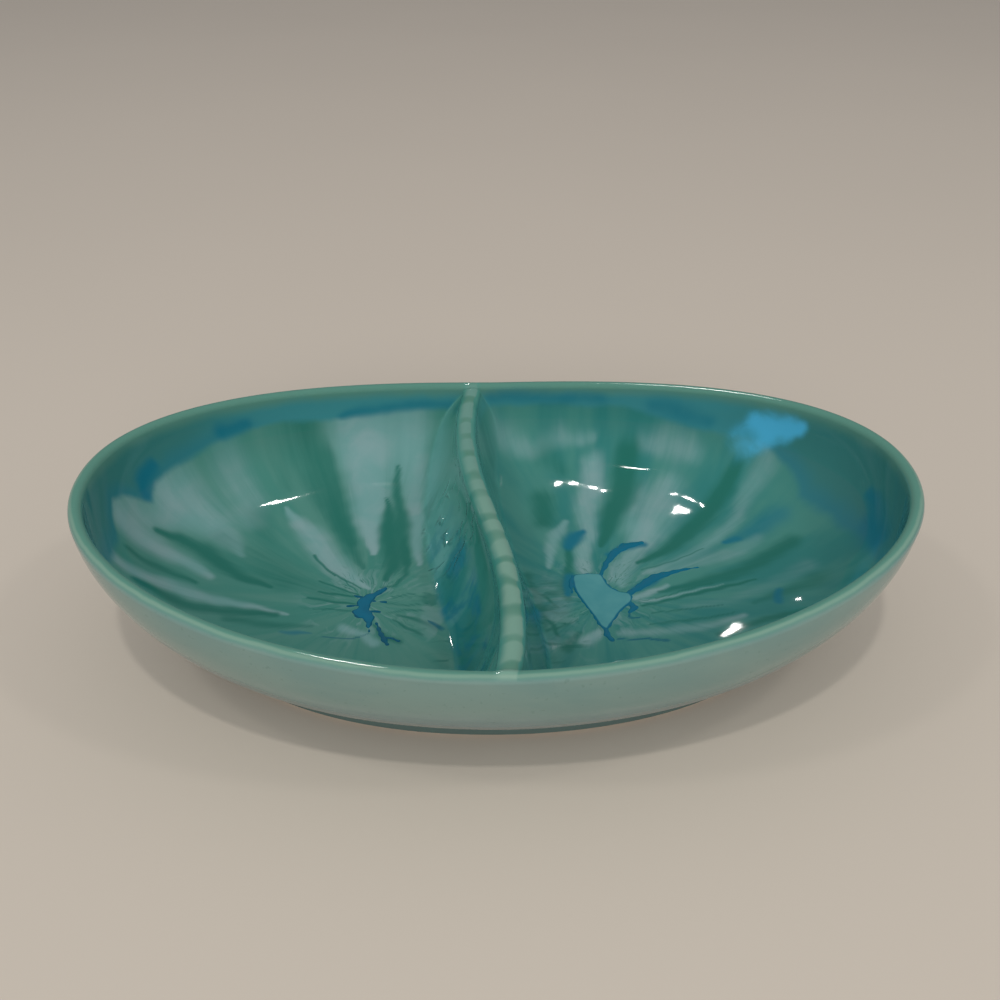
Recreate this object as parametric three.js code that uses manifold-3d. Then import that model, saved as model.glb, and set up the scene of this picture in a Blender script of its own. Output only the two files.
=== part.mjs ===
// An oval divided serving dish in glazed earthenware: a cast bowl on a foot ring, an S-curved dividing wall
// luted across it, and the fired glaze coats that cover them. Millimetres, +Z up, the origin at the centre of
// the face that the foot ring stands on, X along the dish. The dish is rigid, so nothing in it moves.
import * as THREE from "three";
import { mergeVertices } from "three/addons/utils/BufferGeometryUtils.js";
import Module from "manifold-3d";

// Bowl, measured on the clay
const BOWL_LENGTH = 306;
const BOWL_WIDTH = 191;
const RIM_HEIGHT = 51; // top of the rim at the middle of each long side
const END_LIFT = 13; // how much higher the rim sweeps at each end
const LIFT_POWER = 1.6; // how late along the side that sweep begins
const OVAL_POWER = 2.07; // 2 is an ellipse, more is fuller at the shoulders
const WALL = 3.6;
const FLOOR = 5;
const OUTSIDE_BULGE = [0.95, 0.48]; // where the outside section is pulled to, out and up, from base to rim
const INSIDE_FLOOR_REACH = 0.9; // share of the inside radius over which the floor runs nearly flat
const INSIDE_WALL_RISE = 0.3; // share of the depth at which the inside wall turns upright

// Foot ring
const FOOT_LENGTH = 228;
const FOOT_WIDTH = 141;
const FOOT_HEIGHT = 6;
const FOOT_BAND = 7; // width of the ring
const FOOT_EDGE = 1.2; // chamfer along both lower edges
const FOOT_INSET = 1; // step in from the edge of the base

// Dividing wall
const CREST_HEIGHT = 50; // where it meets the rim
const CREST_DIP = 3; // how far the crest sags between its ends
const CREST_WIDTH = 7;
const CREST_CROWN = 2.5; // rounding of the crest
const CREST_OFFSET = -4.5; // the wall stands a little to the left of the middle
const CREST_SWING = 8; // sideways swing of the S
const CREST_WAVE = 240; // length of one whole S
const LEFT_FLARE = 20; // how far the left flank spreads at its toe
const RIGHT_FLARE = 12.5; // the right flank stands steeper
const FLANK_POWER = 1.6; // how low down the flanks spread
const TOE_DEPTH = 3; // depth of the toe under the floor, before the wall is fitted to the bowl
const FILLET_SHARE = 0.65; // extra spread where the flanks run into the bowl, as a share of their flare
const FILLET_POWER = 6; // how close to the bowl that extra spread begins
const FILLET_RISE = 4; // how high up the flanks it reaches

// Glaze coats
const GLAZE = 0.4;
const FOOT_BARE = 1.5; // height of the foot ring that is wiped clean of glaze
const POOL_DEPTH = 0.8;
const LEFT_POOL = [
  [-46, -3], [-50, -8], [-54, -12], [-56, -17], [-54, -22], [-51, -24],
  [-49, -30], [-47, -28], [-48, -21], [-50, -17], [-48, -11], [-45, -6],
];
const RIGHT_POOL = [
  [29, 3], [41, 3], [45, -7], [51, -10], [50, -16], [44, -24], [39.5, -31], [36, -24], [32, -11], [29, -4],
];

// Clearances and fineness
const SEAM = 0.3; // gap left in every luted or fired seam
const SEGMENTS = 64; // round the oval
const INSIDE_STEPS = 8;
const OUTSIDE_STEPS = 6;
const BEAD_STEPS = 4;
const FLANK_STEPS = 5;
const CROWN_STEPS = 3;
const WALL_STATIONS = 20;
const POOL_POINTS = 32;
const OVERSHOOT = 10; // how far a cutting solid runs past what it cuts
const NUDGE = 1e-4; // parameter step for a surface normal

const BEAD_RADIUS = WALL / 2;
const BASE_HEIGHT = FOOT_HEIGHT;
const FLOOR_HEIGHT = BASE_HEIGHT + FLOOR;
const BASE_LENGTH = FOOT_LENGTH + 2 * FOOT_INSET;
const BASE_WIDTH = FOOT_WIDTH + 2 * FOOT_INSET;
const COAT_TOP = SEAM + GLAZE; // distance from the clay to the face of its glaze
const COAT_CLEAR = COAT_TOP + SEAM; // where the next thing on top of a coat begins

const wasm = await Module();
wasm.setup();

// Solids

function solidOf(geometry) {
  const bare = geometry.clone();
  bare.deleteAttribute("normal");
  bare.deleteAttribute("uv");
  const merged = mergeVertices(bare);
  return new wasm.Manifold(
    new wasm.Mesh({
      numProp: 3,
      vertProperties: new Float32Array(merged.getAttribute("position").array),
      triVerts: new Uint32Array(merged.index.array),
    }),
  );
}

function geometryOf(solid) {
  const mesh = solid.getMesh();
  const geometry = new THREE.BufferGeometry();
  geometry.setAttribute("position", new THREE.BufferAttribute(mesh.vertProperties, 3));
  geometry.setIndex(new THREE.BufferAttribute(mesh.triVerts, 1));
  geometry.computeVertexNormals();
  return geometry;
}

// A closed skin over rows of points. A row is a ring, or a single point that closes the skin as a pole. Where
// `closed` is set, the last row joins the first, as on a ring with a section of its own.
function skin(rows, closed = false) {
  const starts = [];
  rows.reduce((start, row) => {
    starts.push(start);
    return start + row.length;
  }, 0);
  const at = (row, step) => starts[row] + (step % rows[row].length);
  const index = [];
  const bands = closed ? rows.length : rows.length - 1;
  for (let row = 0; row < bands; row++) {
    const next = (row + 1) % rows.length;
    const ringSteps = Math.max(rows[row].length, rows[next].length);
    for (let step = 0; step < ringSteps; step++) {
      if (rows[next].length > 1) index.push(at(row, step), at(next, step), at(next, step + 1));
      if (rows[row].length > 1) index.push(at(row, step), at(next, step + 1), at(row, step + 1));
    }
  }
  const geometry = new THREE.BufferGeometry().setFromPoints(rows.flat()).setIndex(index);
  geometry.computeVertexNormals();
  return geometry;
}

// Even shares from 0 to 1.
const shares = (count) => Array.from({ length: count + 1 }, (_, i) => i / count);

// The bowl's surfaces

const signedPower = (value, power) => Math.sign(value) * Math.abs(value) ** power;

function ovalPoint(halfLength, halfWidth, turn, z) {
  const x = halfLength * signedPower(Math.cos(turn), 2 / OVAL_POWER);
  const y = halfWidth * signedPower(Math.sin(turn), 2 / OVAL_POWER);
  return new THREE.Vector3(x, y, z);
}

function rimHeight(turn) {
  return RIM_HEIGHT + END_LIFT * Math.abs(ovalPoint(1, 1, turn, 0).x) ** LIFT_POWER;
}

// An oval that runs `inset` inside the bowl's outline.
function insetOval(inset, turn, z) {
  return ovalPoint(BOWL_LENGTH / 2 - inset, BOWL_WIDTH / 2 - inset, turn, z);
}

// The inside face: `rise` goes from the middle of the floor (0) to the start of the rim's bead (1).
function insidePoint(turn, rise) {
  const top = insetOval(WALL, turn, rimHeight(turn) - BEAD_RADIUS);
  const floorEdge = top.clone().multiplyScalar(INSIDE_FLOOR_REACH).setZ(FLOOR_HEIGHT);
  const wallFoot = top.clone().setZ(FLOOR_HEIGHT + INSIDE_WALL_RISE * (top.z - FLOOR_HEIGHT));
  const middle = new THREE.Vector3(0, 0, FLOOR_HEIGHT);
  return new THREE.CubicBezierCurve3(middle, floorEdge, wallFoot, top).getPoint(rise);
}

// The outside face: `rise` goes from the edge of the base (0) to the start of the rim's bead (1).
function outsidePoint(turn, rise) {
  const base = ovalPoint(BASE_LENGTH / 2, BASE_WIDTH / 2, turn, BASE_HEIGHT);
  const top = insetOval(0, turn, rimHeight(turn) - BEAD_RADIUS);
  const [outward, upward] = OUTSIDE_BULGE;
  const bulge = base.clone().lerp(top, outward).setZ(base.z + upward * (top.z - base.z));
  return new THREE.QuadraticBezierCurve3(base, bulge, top).getPoint(rise);
}

// A point of a face, lifted off the clay along the face's normal. `side` is 1 on the inside face and -1 on
// the outside face, whose normals point opposite ways.
function lifted(face, turn, rise, lift, side) {
  const near = Math.min(Math.max(rise, NUDGE), 1 - NUDGE);
  const along = face(turn + NUDGE, near).sub(face(turn - NUDGE, near));
  const up = face(turn, near + NUDGE).sub(face(turn, near - NUDGE));
  const normal = up.cross(along).normalize().multiplyScalar(side);
  return face(turn, rise).addScaledVector(normal, lift);
}

const turns = Array.from({ length: SEGMENTS }, (_, i) => (2 * Math.PI * i) / SEGMENTS);
const insideRow = (rise, lift) => turns.map((turn) => lifted(insidePoint, turn, rise, lift, 1));
const outsideRow = (rise, lift) => turns.map((turn) => lifted(outsidePoint, turn, rise, lift, -1));
const pole = (z) => [new THREE.Vector3(0, 0, z)];

// Rows over the rim's round bead, `lift` off the clay, from the wells to the outside. `trim` is the angle
// that is left free at both ends.
function beadRows(lift, trim) {
  return shares(BEAD_STEPS).map((share) => {
    const angle = Math.PI - trim - share * (Math.PI - 2 * trim);
    const reach = BEAD_RADIUS + lift;
    const inset = BEAD_RADIUS - reach * Math.cos(angle);
    const climb = reach * Math.sin(angle) - BEAD_RADIUS;
    return turns.map((turn) => insetOval(inset, turn, rimHeight(turn) + climb));
  });
}

// A row of the foot ring, `inset` in from its outer face.
function footRow(inset, z) {
  return turns.map((turn) => ovalPoint(FOOT_LENGTH / 2 - inset, FOOT_WIDTH / 2 - inset, turn, z));
}

// Clay pieces

function bowlShell() {
  const inside = shares(INSIDE_STEPS).slice(1).map((rise) => insideRow(rise, 0));
  const bead = beadRows(0, 0).slice(1, -1);
  const outside = shares(OUTSIDE_STEPS).reverse().map((rise) => outsideRow(rise, 0));
  return skin([pole(FLOOR_HEIGHT), ...inside, ...bead, ...outside, pole(BASE_HEIGHT)]);
}

function footRing() {
  return skin(
    [
      footRow(FOOT_BAND, FOOT_EDGE),
      footRow(FOOT_BAND, FOOT_HEIGHT),
      footRow(0, FOOT_HEIGHT),
      footRow(0, FOOT_EDGE),
      footRow(FOOT_EDGE, 0),
      footRow(FOOT_BAND - FOOT_EDGE, 0),
    ],
    true,
  );
}

// How far along the dividing wall a place lies, from its middle (0) to the bowl's outline (1).
const endShare = (y) => Math.min(Math.abs(y) / (BOWL_WIDTH / 2), 1);
const crestLine = (y) => CREST_OFFSET - CREST_SWING * Math.sin((2 * Math.PI * y) / CREST_WAVE);
const crestHeight = (y) => CREST_HEIGHT - CREST_DIP * (1 - endShare(y) ** 2);

// One half of the dividing wall's section at `y`, as (reach from the crest line, height) from the crest down
// to the toe, lifted off the clay.
function halfSection(y, flare, lift) {
  const shoulder = crestHeight(y) - CREST_CROWN;
  const toe = FLOOR_HEIGHT - TOE_DEPTH;
  const fillet = flare * FILLET_SHARE * endShare(y) ** FILLET_POWER;
  const crown = shares(CROWN_STEPS).map((share) => {
    const across = Math.sin((share * Math.PI) / 2);
    const upward = Math.cos((share * Math.PI) / 2);
    const normal = new THREE.Vector2(across * CREST_CROWN, (upward * CREST_WIDTH) / 2).normalize();
    const point = new THREE.Vector2((across * CREST_WIDTH) / 2, shoulder + upward * CREST_CROWN);
    return point.addScaledVector(normal, lift);
  });
  const flankReach = (drop) =>
    CREST_WIDTH / 2 + flare * drop ** FLANK_POWER + fillet * (1 - (1 - drop) ** FILLET_RISE);
  const flank = shares(FLANK_STEPS).slice(1).map((drop) => {
    const spread = (flankReach(drop) - flankReach(drop - NUDGE)) / NUDGE;
    const normal = new THREE.Vector2(shoulder - toe, spread).normalize();
    const point = new THREE.Vector2(flankReach(drop), shoulder - drop * (shoulder - toe));
    return point.addScaledVector(normal, lift);
  });
  return [...crown, ...flank];
}

// The dividing wall before it is fitted to the bowl, with every face lifted off the clay.
function dividerBlank(lift) {
  const reach = BOWL_WIDTH / 2 + OVERSHOOT;
  const rows = shares(WALL_STATIONS).map((share) => {
    const y = reach * (2 * share - 1);
    const place = (side) => (p) => new THREE.Vector3(crestLine(y) + side * p.x, y, p.y);
    const rightHalf = halfSection(y, RIGHT_FLARE, lift).reverse().map(place(1));
    const leftHalf = halfSection(y, LEFT_FLARE, lift).slice(1).map(place(-1));
    const sunk = (p) => p.clone().setZ(FLOOR_HEIGHT - TOE_DEPTH - OVERSHOOT);
    return [sunk(rightHalf[0]), ...rightHalf, ...leftHalf, sunk(leftHalf[leftHalf.length - 1])];
  });
  const cap = (y) => [new THREE.Vector3(crestLine(y), y, FLOOR_HEIGHT)];
  return solidOf(skin([cap(-reach), ...rows, cap(reach)]));
}

// The space inside the bowl, `lift` off the clay, and clear of the rim's coat from the bead upwards.
function bowlSpace(lift) {
  const above = RIM_HEIGHT + END_LIFT + OVERSHOOT;
  const throat = insideRow(1, Math.max(lift, COAT_CLEAR));
  const mouth = throat.map((p) => p.clone().setZ(above));
  const sides = shares(INSIDE_STEPS).slice(1).reverse().map((rise) => insideRow(rise, lift));
  const wall = lift < COAT_CLEAR ? [throat, ...sides] : sides;
  return solidOf(skin([pole(above), mouth, ...wall, pole(FLOOR_HEIGHT + lift)]));
}

function dividerWall() {
  return geometryOf(dividerBlank(0).intersect(bowlSpace(SEAM)));
}

// Glaze coats

function dividerGlaze() {
  const coat = dividerBlank(COAT_TOP).subtract(dividerBlank(SEAM));
  return geometryOf(coat.intersect(bowlSpace(SEAM)));
}

// The lining of both wells, before the dividing wall parts it.
function wellLining() {
  const rises = shares(INSIDE_STEPS).slice(1);
  const face = rises.map((rise) => insideRow(rise, COAT_TOP));
  const under = rises.map((rise) => insideRow(rise, SEAM)).reverse();
  return solidOf(skin([pole(FLOOR_HEIGHT + COAT_TOP), ...face, ...under, pole(FLOOR_HEIGHT + SEAM)]));
}

// The lining of one well: `side` is -1 for the left well and 1 for the right one.
function wellGlaze(side) {
  const middle = (solid) => (solid.boundingBox().min[0] + solid.boundingBox().max[0]) / 2;
  const linings = wellLining().subtract(dividerBlank(COAT_CLEAR)).decompose();
  return geometryOf(linings.find((solid) => side * (middle(solid) - CREST_OFFSET) > 0));
}

function rimGlaze() {
  const trim = SEAM / BEAD_RADIUS;
  return skin([...beadRows(COAT_TOP, trim), ...beadRows(SEAM, trim).reverse()], true);
}

function outerGlaze() {
  const line = (lift) => [
    footRow(-lift, FOOT_BARE),
    footRow(-lift, BASE_HEIGHT - lift),
    ...shares(OUTSIDE_STEPS).map((rise) => outsideRow(rise, lift)),
  ];
  return skin([...line(SEAM), ...line(COAT_TOP).reverse()], true);
}

// A pool where the glaze gathered on the floor of a well, as a thicker patch on its lining.
function glazePool(outline) {
  const shore = new THREE.CatmullRomCurve3(outline.map(([x, y]) => new THREE.Vector3(x, y)), true);
  const patch = new THREE.Shape(shore.getSpacedPoints(POOL_POINTS));
  const column = new THREE.ExtrudeGeometry(patch, { depth: RIM_HEIGHT, bevelEnabled: false });
  const bed = bowlSpace(COAT_CLEAR).subtract(bowlSpace(COAT_CLEAR + POOL_DEPTH));
  return geometryOf(solidOf(column).intersect(bed).subtract(dividerBlank(COAT_CLEAR)));
}

// The assembly

const clay = new THREE.MeshStandardMaterial({ color: 0xd9cbb4, roughness: 0.85, metalness: 0 });
const tealGlaze = new THREE.MeshStandardMaterial({ color: 0x3f8078, roughness: 0.12, metalness: 0 });
const celadonGlaze = new THREE.MeshStandardMaterial({ color: 0x7d9c94, roughness: 0.15, metalness: 0 });
const poolGlaze = new THREE.MeshStandardMaterial({ color: 0x4a8690, roughness: 0.06, metalness: 0 });

const dish = new THREE.Group();
for (const [name, geometry, material] of [
  ["bowl_shell", bowlShell(), clay],
  ["foot_ring", footRing(), clay],
  ["divider_wall", dividerWall(), clay],
  ["outer_glaze", outerGlaze(), celadonGlaze],
  ["rim_glaze", rimGlaze(), celadonGlaze],
  ["divider_glaze", dividerGlaze(), tealGlaze],
  ["left_well_glaze", wellGlaze(-1), tealGlaze],
  ["right_well_glaze", wellGlaze(1), tealGlaze],
  ["left_glaze_pool", glazePool(LEFT_POOL), poolGlaze],
  ["right_glaze_pool", glazePool(RIGHT_POOL), poolGlaze],
]) {
  const mesh = new THREE.Mesh(geometry, material);
  mesh.name = name;
  dish.add(mesh);
}

export default dish;
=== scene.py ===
"""The looks of an oval divided serving dish in running glaze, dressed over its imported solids.

The forms are worked out in millimetres, in the frame of the solids: X along the dish, Y from the viewer to
the back, Z up from the face that the foot ring stands on. Meshes are made in metres.
"""

import logging
import math
from dataclasses import dataclass, field
from enum import Enum
from functools import cached_property
from typing import Any, Iterator, Mapping, Sequence

import bpy
import numpy as np
from mathutils import Matrix, Vector
from numpy.typing import NDArray


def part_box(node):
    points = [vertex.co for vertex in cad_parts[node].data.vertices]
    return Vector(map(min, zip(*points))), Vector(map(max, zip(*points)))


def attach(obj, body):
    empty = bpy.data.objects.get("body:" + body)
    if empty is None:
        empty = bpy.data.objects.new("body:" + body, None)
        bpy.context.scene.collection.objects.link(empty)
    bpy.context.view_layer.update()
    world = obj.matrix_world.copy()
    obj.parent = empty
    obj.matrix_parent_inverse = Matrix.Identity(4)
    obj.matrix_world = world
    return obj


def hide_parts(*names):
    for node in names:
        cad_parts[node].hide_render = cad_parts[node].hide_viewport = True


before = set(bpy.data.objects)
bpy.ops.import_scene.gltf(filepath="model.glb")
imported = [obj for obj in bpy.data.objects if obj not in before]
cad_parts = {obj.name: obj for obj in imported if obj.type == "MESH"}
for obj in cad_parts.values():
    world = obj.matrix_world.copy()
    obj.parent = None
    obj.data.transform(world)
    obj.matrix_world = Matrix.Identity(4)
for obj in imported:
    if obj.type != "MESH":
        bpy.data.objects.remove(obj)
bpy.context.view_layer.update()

Array = NDArray[Any]
Colour = tuple[float, float, float, float]

MM = 0.001  # metres in a millimetre
TINY = 1e-9  # keeps a division from failing
HALVINGS = 40  # rounds of a search by halves
MERGE_DIGITS = 4  # decimals to which two places count as one
SHARP_ANGLE = math.radians(40.0)  # edges above it stay sharp
MOST_BLUR = 0.95  # softest edge of a run, as a share of its width
RUN_UNIT = 100.0  # millimetres to one unit of a run's length
FLANK_LIMIT = 12.0  # millimetres kept of a flank's rise over the bowl
RIM_PITCH = 2.3  # millimetres along the rim to a degree of the oval
GLAZE_IOR = 1.5
SOCKETS = {float: "NodeSocketFloat", int: "NodeSocketInt", tuple: "NodeSocketColor"}
BODY = "root"
LOG = logging.getLogger("dish")


class Slot(Enum):
    """The record's material slots."""

    CLAY = "clay"
    CELADON = "celadon_glaze"
    TEAL = "teal_glaze"
    POOL = "pool_glaze"


class Side(Enum):
    """The two sides of the dividing wall, as signs along X."""

    LEFT = -1
    RIGHT = 1


class Tone(Enum):
    """The tones that run through the glaze, each with the name of its mask."""

    PALE = "pale"
    DEEP = "deep"
    BLUE = "blue"
    VEIN = "vein"
    BRIGHT = "bright"

    @property
    def blur(self) -> float:
        """How much softer the tone's edges are than a vein's."""
        return 1.0 if self is Tone.VEIN else 1.7


def smooth_step(value: Array, low: float, high: float) -> Array:
    """Ease from 0 at `low` to 1 at `high`.

    Args:
        value: Where to take the step.
        low: Value at which the step starts.
        high: Value at which the step is done.

    Returns:
        The eased shares.
    """
    share = np.clip((value - low) / (high - low), 0.0, 1.0)
    return share * share * (3.0 - 2.0 * share)


def smooth_max(first: Array, second: Array, blend: float) -> Array:
    """Join two heights with a fillet.

    Args:
        first: One height.
        second: The other height.
        blend: Difference of height over which the fillet reaches.

    Returns:
        The upper of the two heights, rounded where they cross.
    """
    near = np.clip(blend - np.abs(first - second), 0.0, None) / blend
    return np.maximum(first, second) + near * near * blend / 4.0


def tint(*levels: int) -> Colour:
    """Turn a display colour into a linear one.

    Args:
        *levels: Its red, green and blue, from 0 to 255.

    Returns:
        The linear colour with full alpha.
    """
    shares = [level / 255.0 for level in levels]
    red, green, blue = (s / 12.92 if s <= 0.04045 else ((s + 0.055) / 1.055) ** 2.4 for s in shares)
    return (red, green, blue, 1.0)


@dataclass(frozen=True)
class BowlForm:
    """The bowl's glazed faces in millimetres: ovals of one outline under a rim swept up at both ends."""

    length: float
    width: float
    top: float
    rim_height: float = 51.0
    lift_power: float = 1.6
    oval_power: float = 2.07
    wall: float = 3.6
    floor: float = 11.0
    coat: float = 0.7
    floor_reach: float = 0.9
    wall_rise: float = 0.3
    section_steps: int = 2001
    section_crowding: float = 1.5

    @property
    def bead(self) -> float:
        """Radius of the clay bead along the rim."""
        return self.wall / 2.0

    @property
    def glazed_bead(self) -> float:
        """Radius of the bead with its coat."""
        return self.bead + self.coat

    @property
    def edge_inset(self) -> float:
        """How far inside the clay's outline the wells begin."""
        return self.wall + self.coat

    @property
    def edge_long(self) -> float:
        """Half the length of the wells' edge."""
        return self.length / 2.0 - self.edge_inset

    @property
    def edge_wide(self) -> float:
        """Half the width of the wells' edge."""
        return self.width / 2.0 - self.edge_inset

    def oval(self, turn: Array, inset: float | Array) -> tuple[Array, Array]:
        """Walk an oval that runs inside the outline.

        Args:
            turn: Angles of the walk, in radians.
            inset: Distance inside the outline.

        Returns:
            The plan places, as X and Y.
        """
        power = 2.0 / self.oval_power
        across, along = np.cos(turn), np.sin(turn)
        x = (self.length / 2.0 - inset) * np.sign(across) * np.abs(across) ** power
        y = (self.width / 2.0 - inset) * np.sign(along) * np.abs(along) ** power
        return x, y

    def turn_at(self, x: Array, y: Array) -> Array:
        """Find the angles of places on the wells' edge.

        Args:
            x: X of the places.
            y: Y of the places.

        Returns:
            The angles, in radians.
        """
        power = self.oval_power / 2.0
        across = np.abs(x / self.edge_long) ** power
        along = np.abs(y / self.edge_wide) ** power
        return np.arctan2(np.sign(y) * along, np.sign(x) * across)

    def edge_y(self, x: Array) -> Array:
        """Give the Y at which the wells' edge passes `x`, on the far side."""
        share = np.abs(x) / self.edge_long
        return self.edge_wide * (1.0 - share**self.oval_power) ** (1.0 / self.oval_power)

    def rim(self, share: Array) -> Array:
        """Give the clay rim's height at a share of the half length."""
        return self.rim_height + (self.top - self.rim_height) * np.abs(share) ** self.lift_power

    def rim_at(self, turn: Array) -> Array:
        """Give the clay rim's height at an angle of the oval."""
        return self.rim(np.abs(np.cos(turn)) ** (2.0 / self.oval_power))

    @cached_property
    def section(self) -> tuple[Array, Array]:
        """The inside section as shares: how far out, and how high up, from the middle to the edge."""
        rise = 1.0 - (1.0 - np.linspace(0.0, 1.0, self.section_steps)) ** self.section_crowding
        near, far = 3.0 * rise * (1.0 - rise) ** 2, 3.0 * rise**2 * (1.0 - rise)
        return near * self.floor_reach + far + rise**3, far * self.wall_rise + rise**3

    def out(self, x: Array, y: Array) -> Array:
        """Say how far out plan places are, from 0 in the middle to 1 at the wells' edge."""
        across, along = np.abs(x) / self.edge_long, np.abs(y) / self.edge_wide
        return (across**self.oval_power + along**self.oval_power) ** (1.0 / self.oval_power)

    def edge_height(self, x: Array, y: Array) -> Array:
        """Give the height of the wells' edge straight out from plan places."""
        across = np.abs(x) / self.edge_long
        return self.rim(across / np.maximum(self.out(x, y), TINY)) - self.bead

    def inside(self, x: Array, y: Array) -> Array:
        """Give the height of the bowl's glazed inside, without the dividing wall.

        Args:
            x: X of the places.
            y: Y of the places.

        Returns:
            The heights.
        """
        lowest = self.floor + self.coat
        depth = self.edge_height(x, y) - lowest
        return lowest + np.interp(self.out(x, y), *self.section) * depth


@dataclass(frozen=True)
class DividerForm:
    """The glazed dividing wall in millimetres: a rounded crest on an S line, with flanks that spread."""

    bowl: BowlForm
    crest_height: float = 50.0
    crest_dip: float = 3.0
    crest_width: float = 7.0
    crown: float = 2.5
    offset: float = -4.5
    swing: float = 8.0
    wave: float = 240.0
    left_flare: float = 20.0
    right_flare: float = 12.5
    flank_power: float = 1.6
    toe: float = 8.0
    fillet_share: float = 0.65
    fillet_power: float = 6.0
    fillet_rise: float = 4.0
    lowest_drop: float = 1.6

    @property
    def half_crest(self) -> float:
        """Half the width of the glazed crest."""
        return self.crest_width / 2.0 + self.bowl.coat

    def crest_line(self, y: Array) -> Array:
        """Give the X of the crest at `y`."""
        return self.offset - self.swing * np.sin(2.0 * math.pi * y / self.wave)

    def height(self, x: Array, y: Array) -> Array:
        """Give the height of the wall's glazed faces.

        Args:
            x: X of the places.
            y: Y of the places.

        Returns:
            The heights.
        """
        end = np.minimum(np.abs(y) / (self.bowl.width / 2.0), 1.0)
        shoulder = self.crest_height - self.crest_dip * (1.0 - end**2) - self.crown
        crown = self.crown + self.bowl.coat
        gap = x - self.crest_line(y)
        left = gap < 0.0
        reach = np.abs(gap)
        dome = shoulder + crown * np.sqrt(np.clip(1.0 - (reach / self.half_crest) ** 2, 0.0, None))
        flare = np.where(left, self.left_flare, self.right_flare)
        fillet = flare * self.fillet_share * end**self.fillet_power
        spread = np.clip(reach - self.half_crest, 0.0, None)
        low, high = np.zeros_like(spread), np.full_like(spread, self.lowest_drop)
        for _ in range(HALVINGS):
            drop = (low + high) / 2.0
            rise = 1.0 - (1.0 - np.minimum(drop, 1.0)) ** self.fillet_rise
            short = flare * drop**self.flank_power + fillet * rise < spread
            low, high = np.where(short, drop, low), np.where(short, high, drop)
        flank = shoulder - (low + high) / 2.0 * (shoulder - self.toe)
        return np.where(reach < self.half_crest, dome, flank)


@dataclass(frozen=True)
class Run:
    """A run of one tone of glaze along places (x, y, half width), in millimetres."""

    tone: Tone
    places: tuple[tuple[float, float, float], ...]
    soft: float = 0.5
    strength: float = 1.0

    def legs(self, x: Array, y: Array) -> Iterator[tuple[Array, Array]]:
        """Measure how far places are from each leg of the run.

        Args:
            x: X of the places.
            y: Y of the places.

        Returns:
            For each leg, the distances from its line and the half widths beside the places.
        """
        stops = self.places if len(self.places) > 1 else self.places * 2
        for (ax, ay, aw), (bx, by, bw) in zip(stops, stops[1:]):
            dx, dy = bx - ax, by - ay
            along = np.clip(((x - ax) * dx + (y - ay) * dy) / max(dx * dx + dy * dy, TINY), 0.0, 1.0)
            yield np.hypot(x - ax - along * dx, y - ay - along * dy), aw + along * (bw - aw)

    def gap(self, x: Array, y: Array) -> Array:
        """Give the distances of places from the run's edge, which are negative inside it."""
        return np.min([far - half for far, half in self.legs(x, y)], axis=0)

    def mask(self, x: Array, y: Array) -> Array:
        """Say how fully the run covers each place.

        Args:
            x: X of the places.
            y: Y of the places.

        Returns:
            Shares from 0, outside the run, to the run's strength.
        """
        nearest = np.min([far / half for far, half in self.legs(x, y)], axis=0)
        blur = min(MOST_BLUR, self.soft * self.tone.blur)
        return self.strength * smooth_step(-nearest, -1.0 - blur, -1.0 + blur)


def runs(tone: Tone, *rows: Sequence[Any], pitch: float = 1.0) -> tuple[Run, ...]:
    """Make runs of one tone.

    Args:
        tone: Their tone.
        *rows: For each run its softness, its strength and then its places.
        pitch: Millimetres to one unit of the places' first value.

    Returns:
        The runs.
    """
    made = []
    for soft, strength, *places in rows:
        made.append(Run(tone, tuple((x * pitch, y, half) for x, y, half in places), soft, strength))
    return tuple(made)


def wander(x: Array, y: Array) -> tuple[Array, Array]:
    """Let plan places drift a little, so that the edges of the runs are uneven.

    Args:
        x: X of the places.
        y: Y of the places.

    Returns:
        The drifted X and Y.
    """
    sway_x = 0.5 * np.sin(0.21 * y + 0.11 * x) + 0.2 * np.sin(0.71 * y - 0.4 * x + 1.0)
    sway_y = 0.5 * np.sin(0.19 * x - 0.09 * y + 2.0) + 0.2 * np.sin(0.67 * x + 0.47 * y)
    return x + sway_x, y + sway_y


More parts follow.
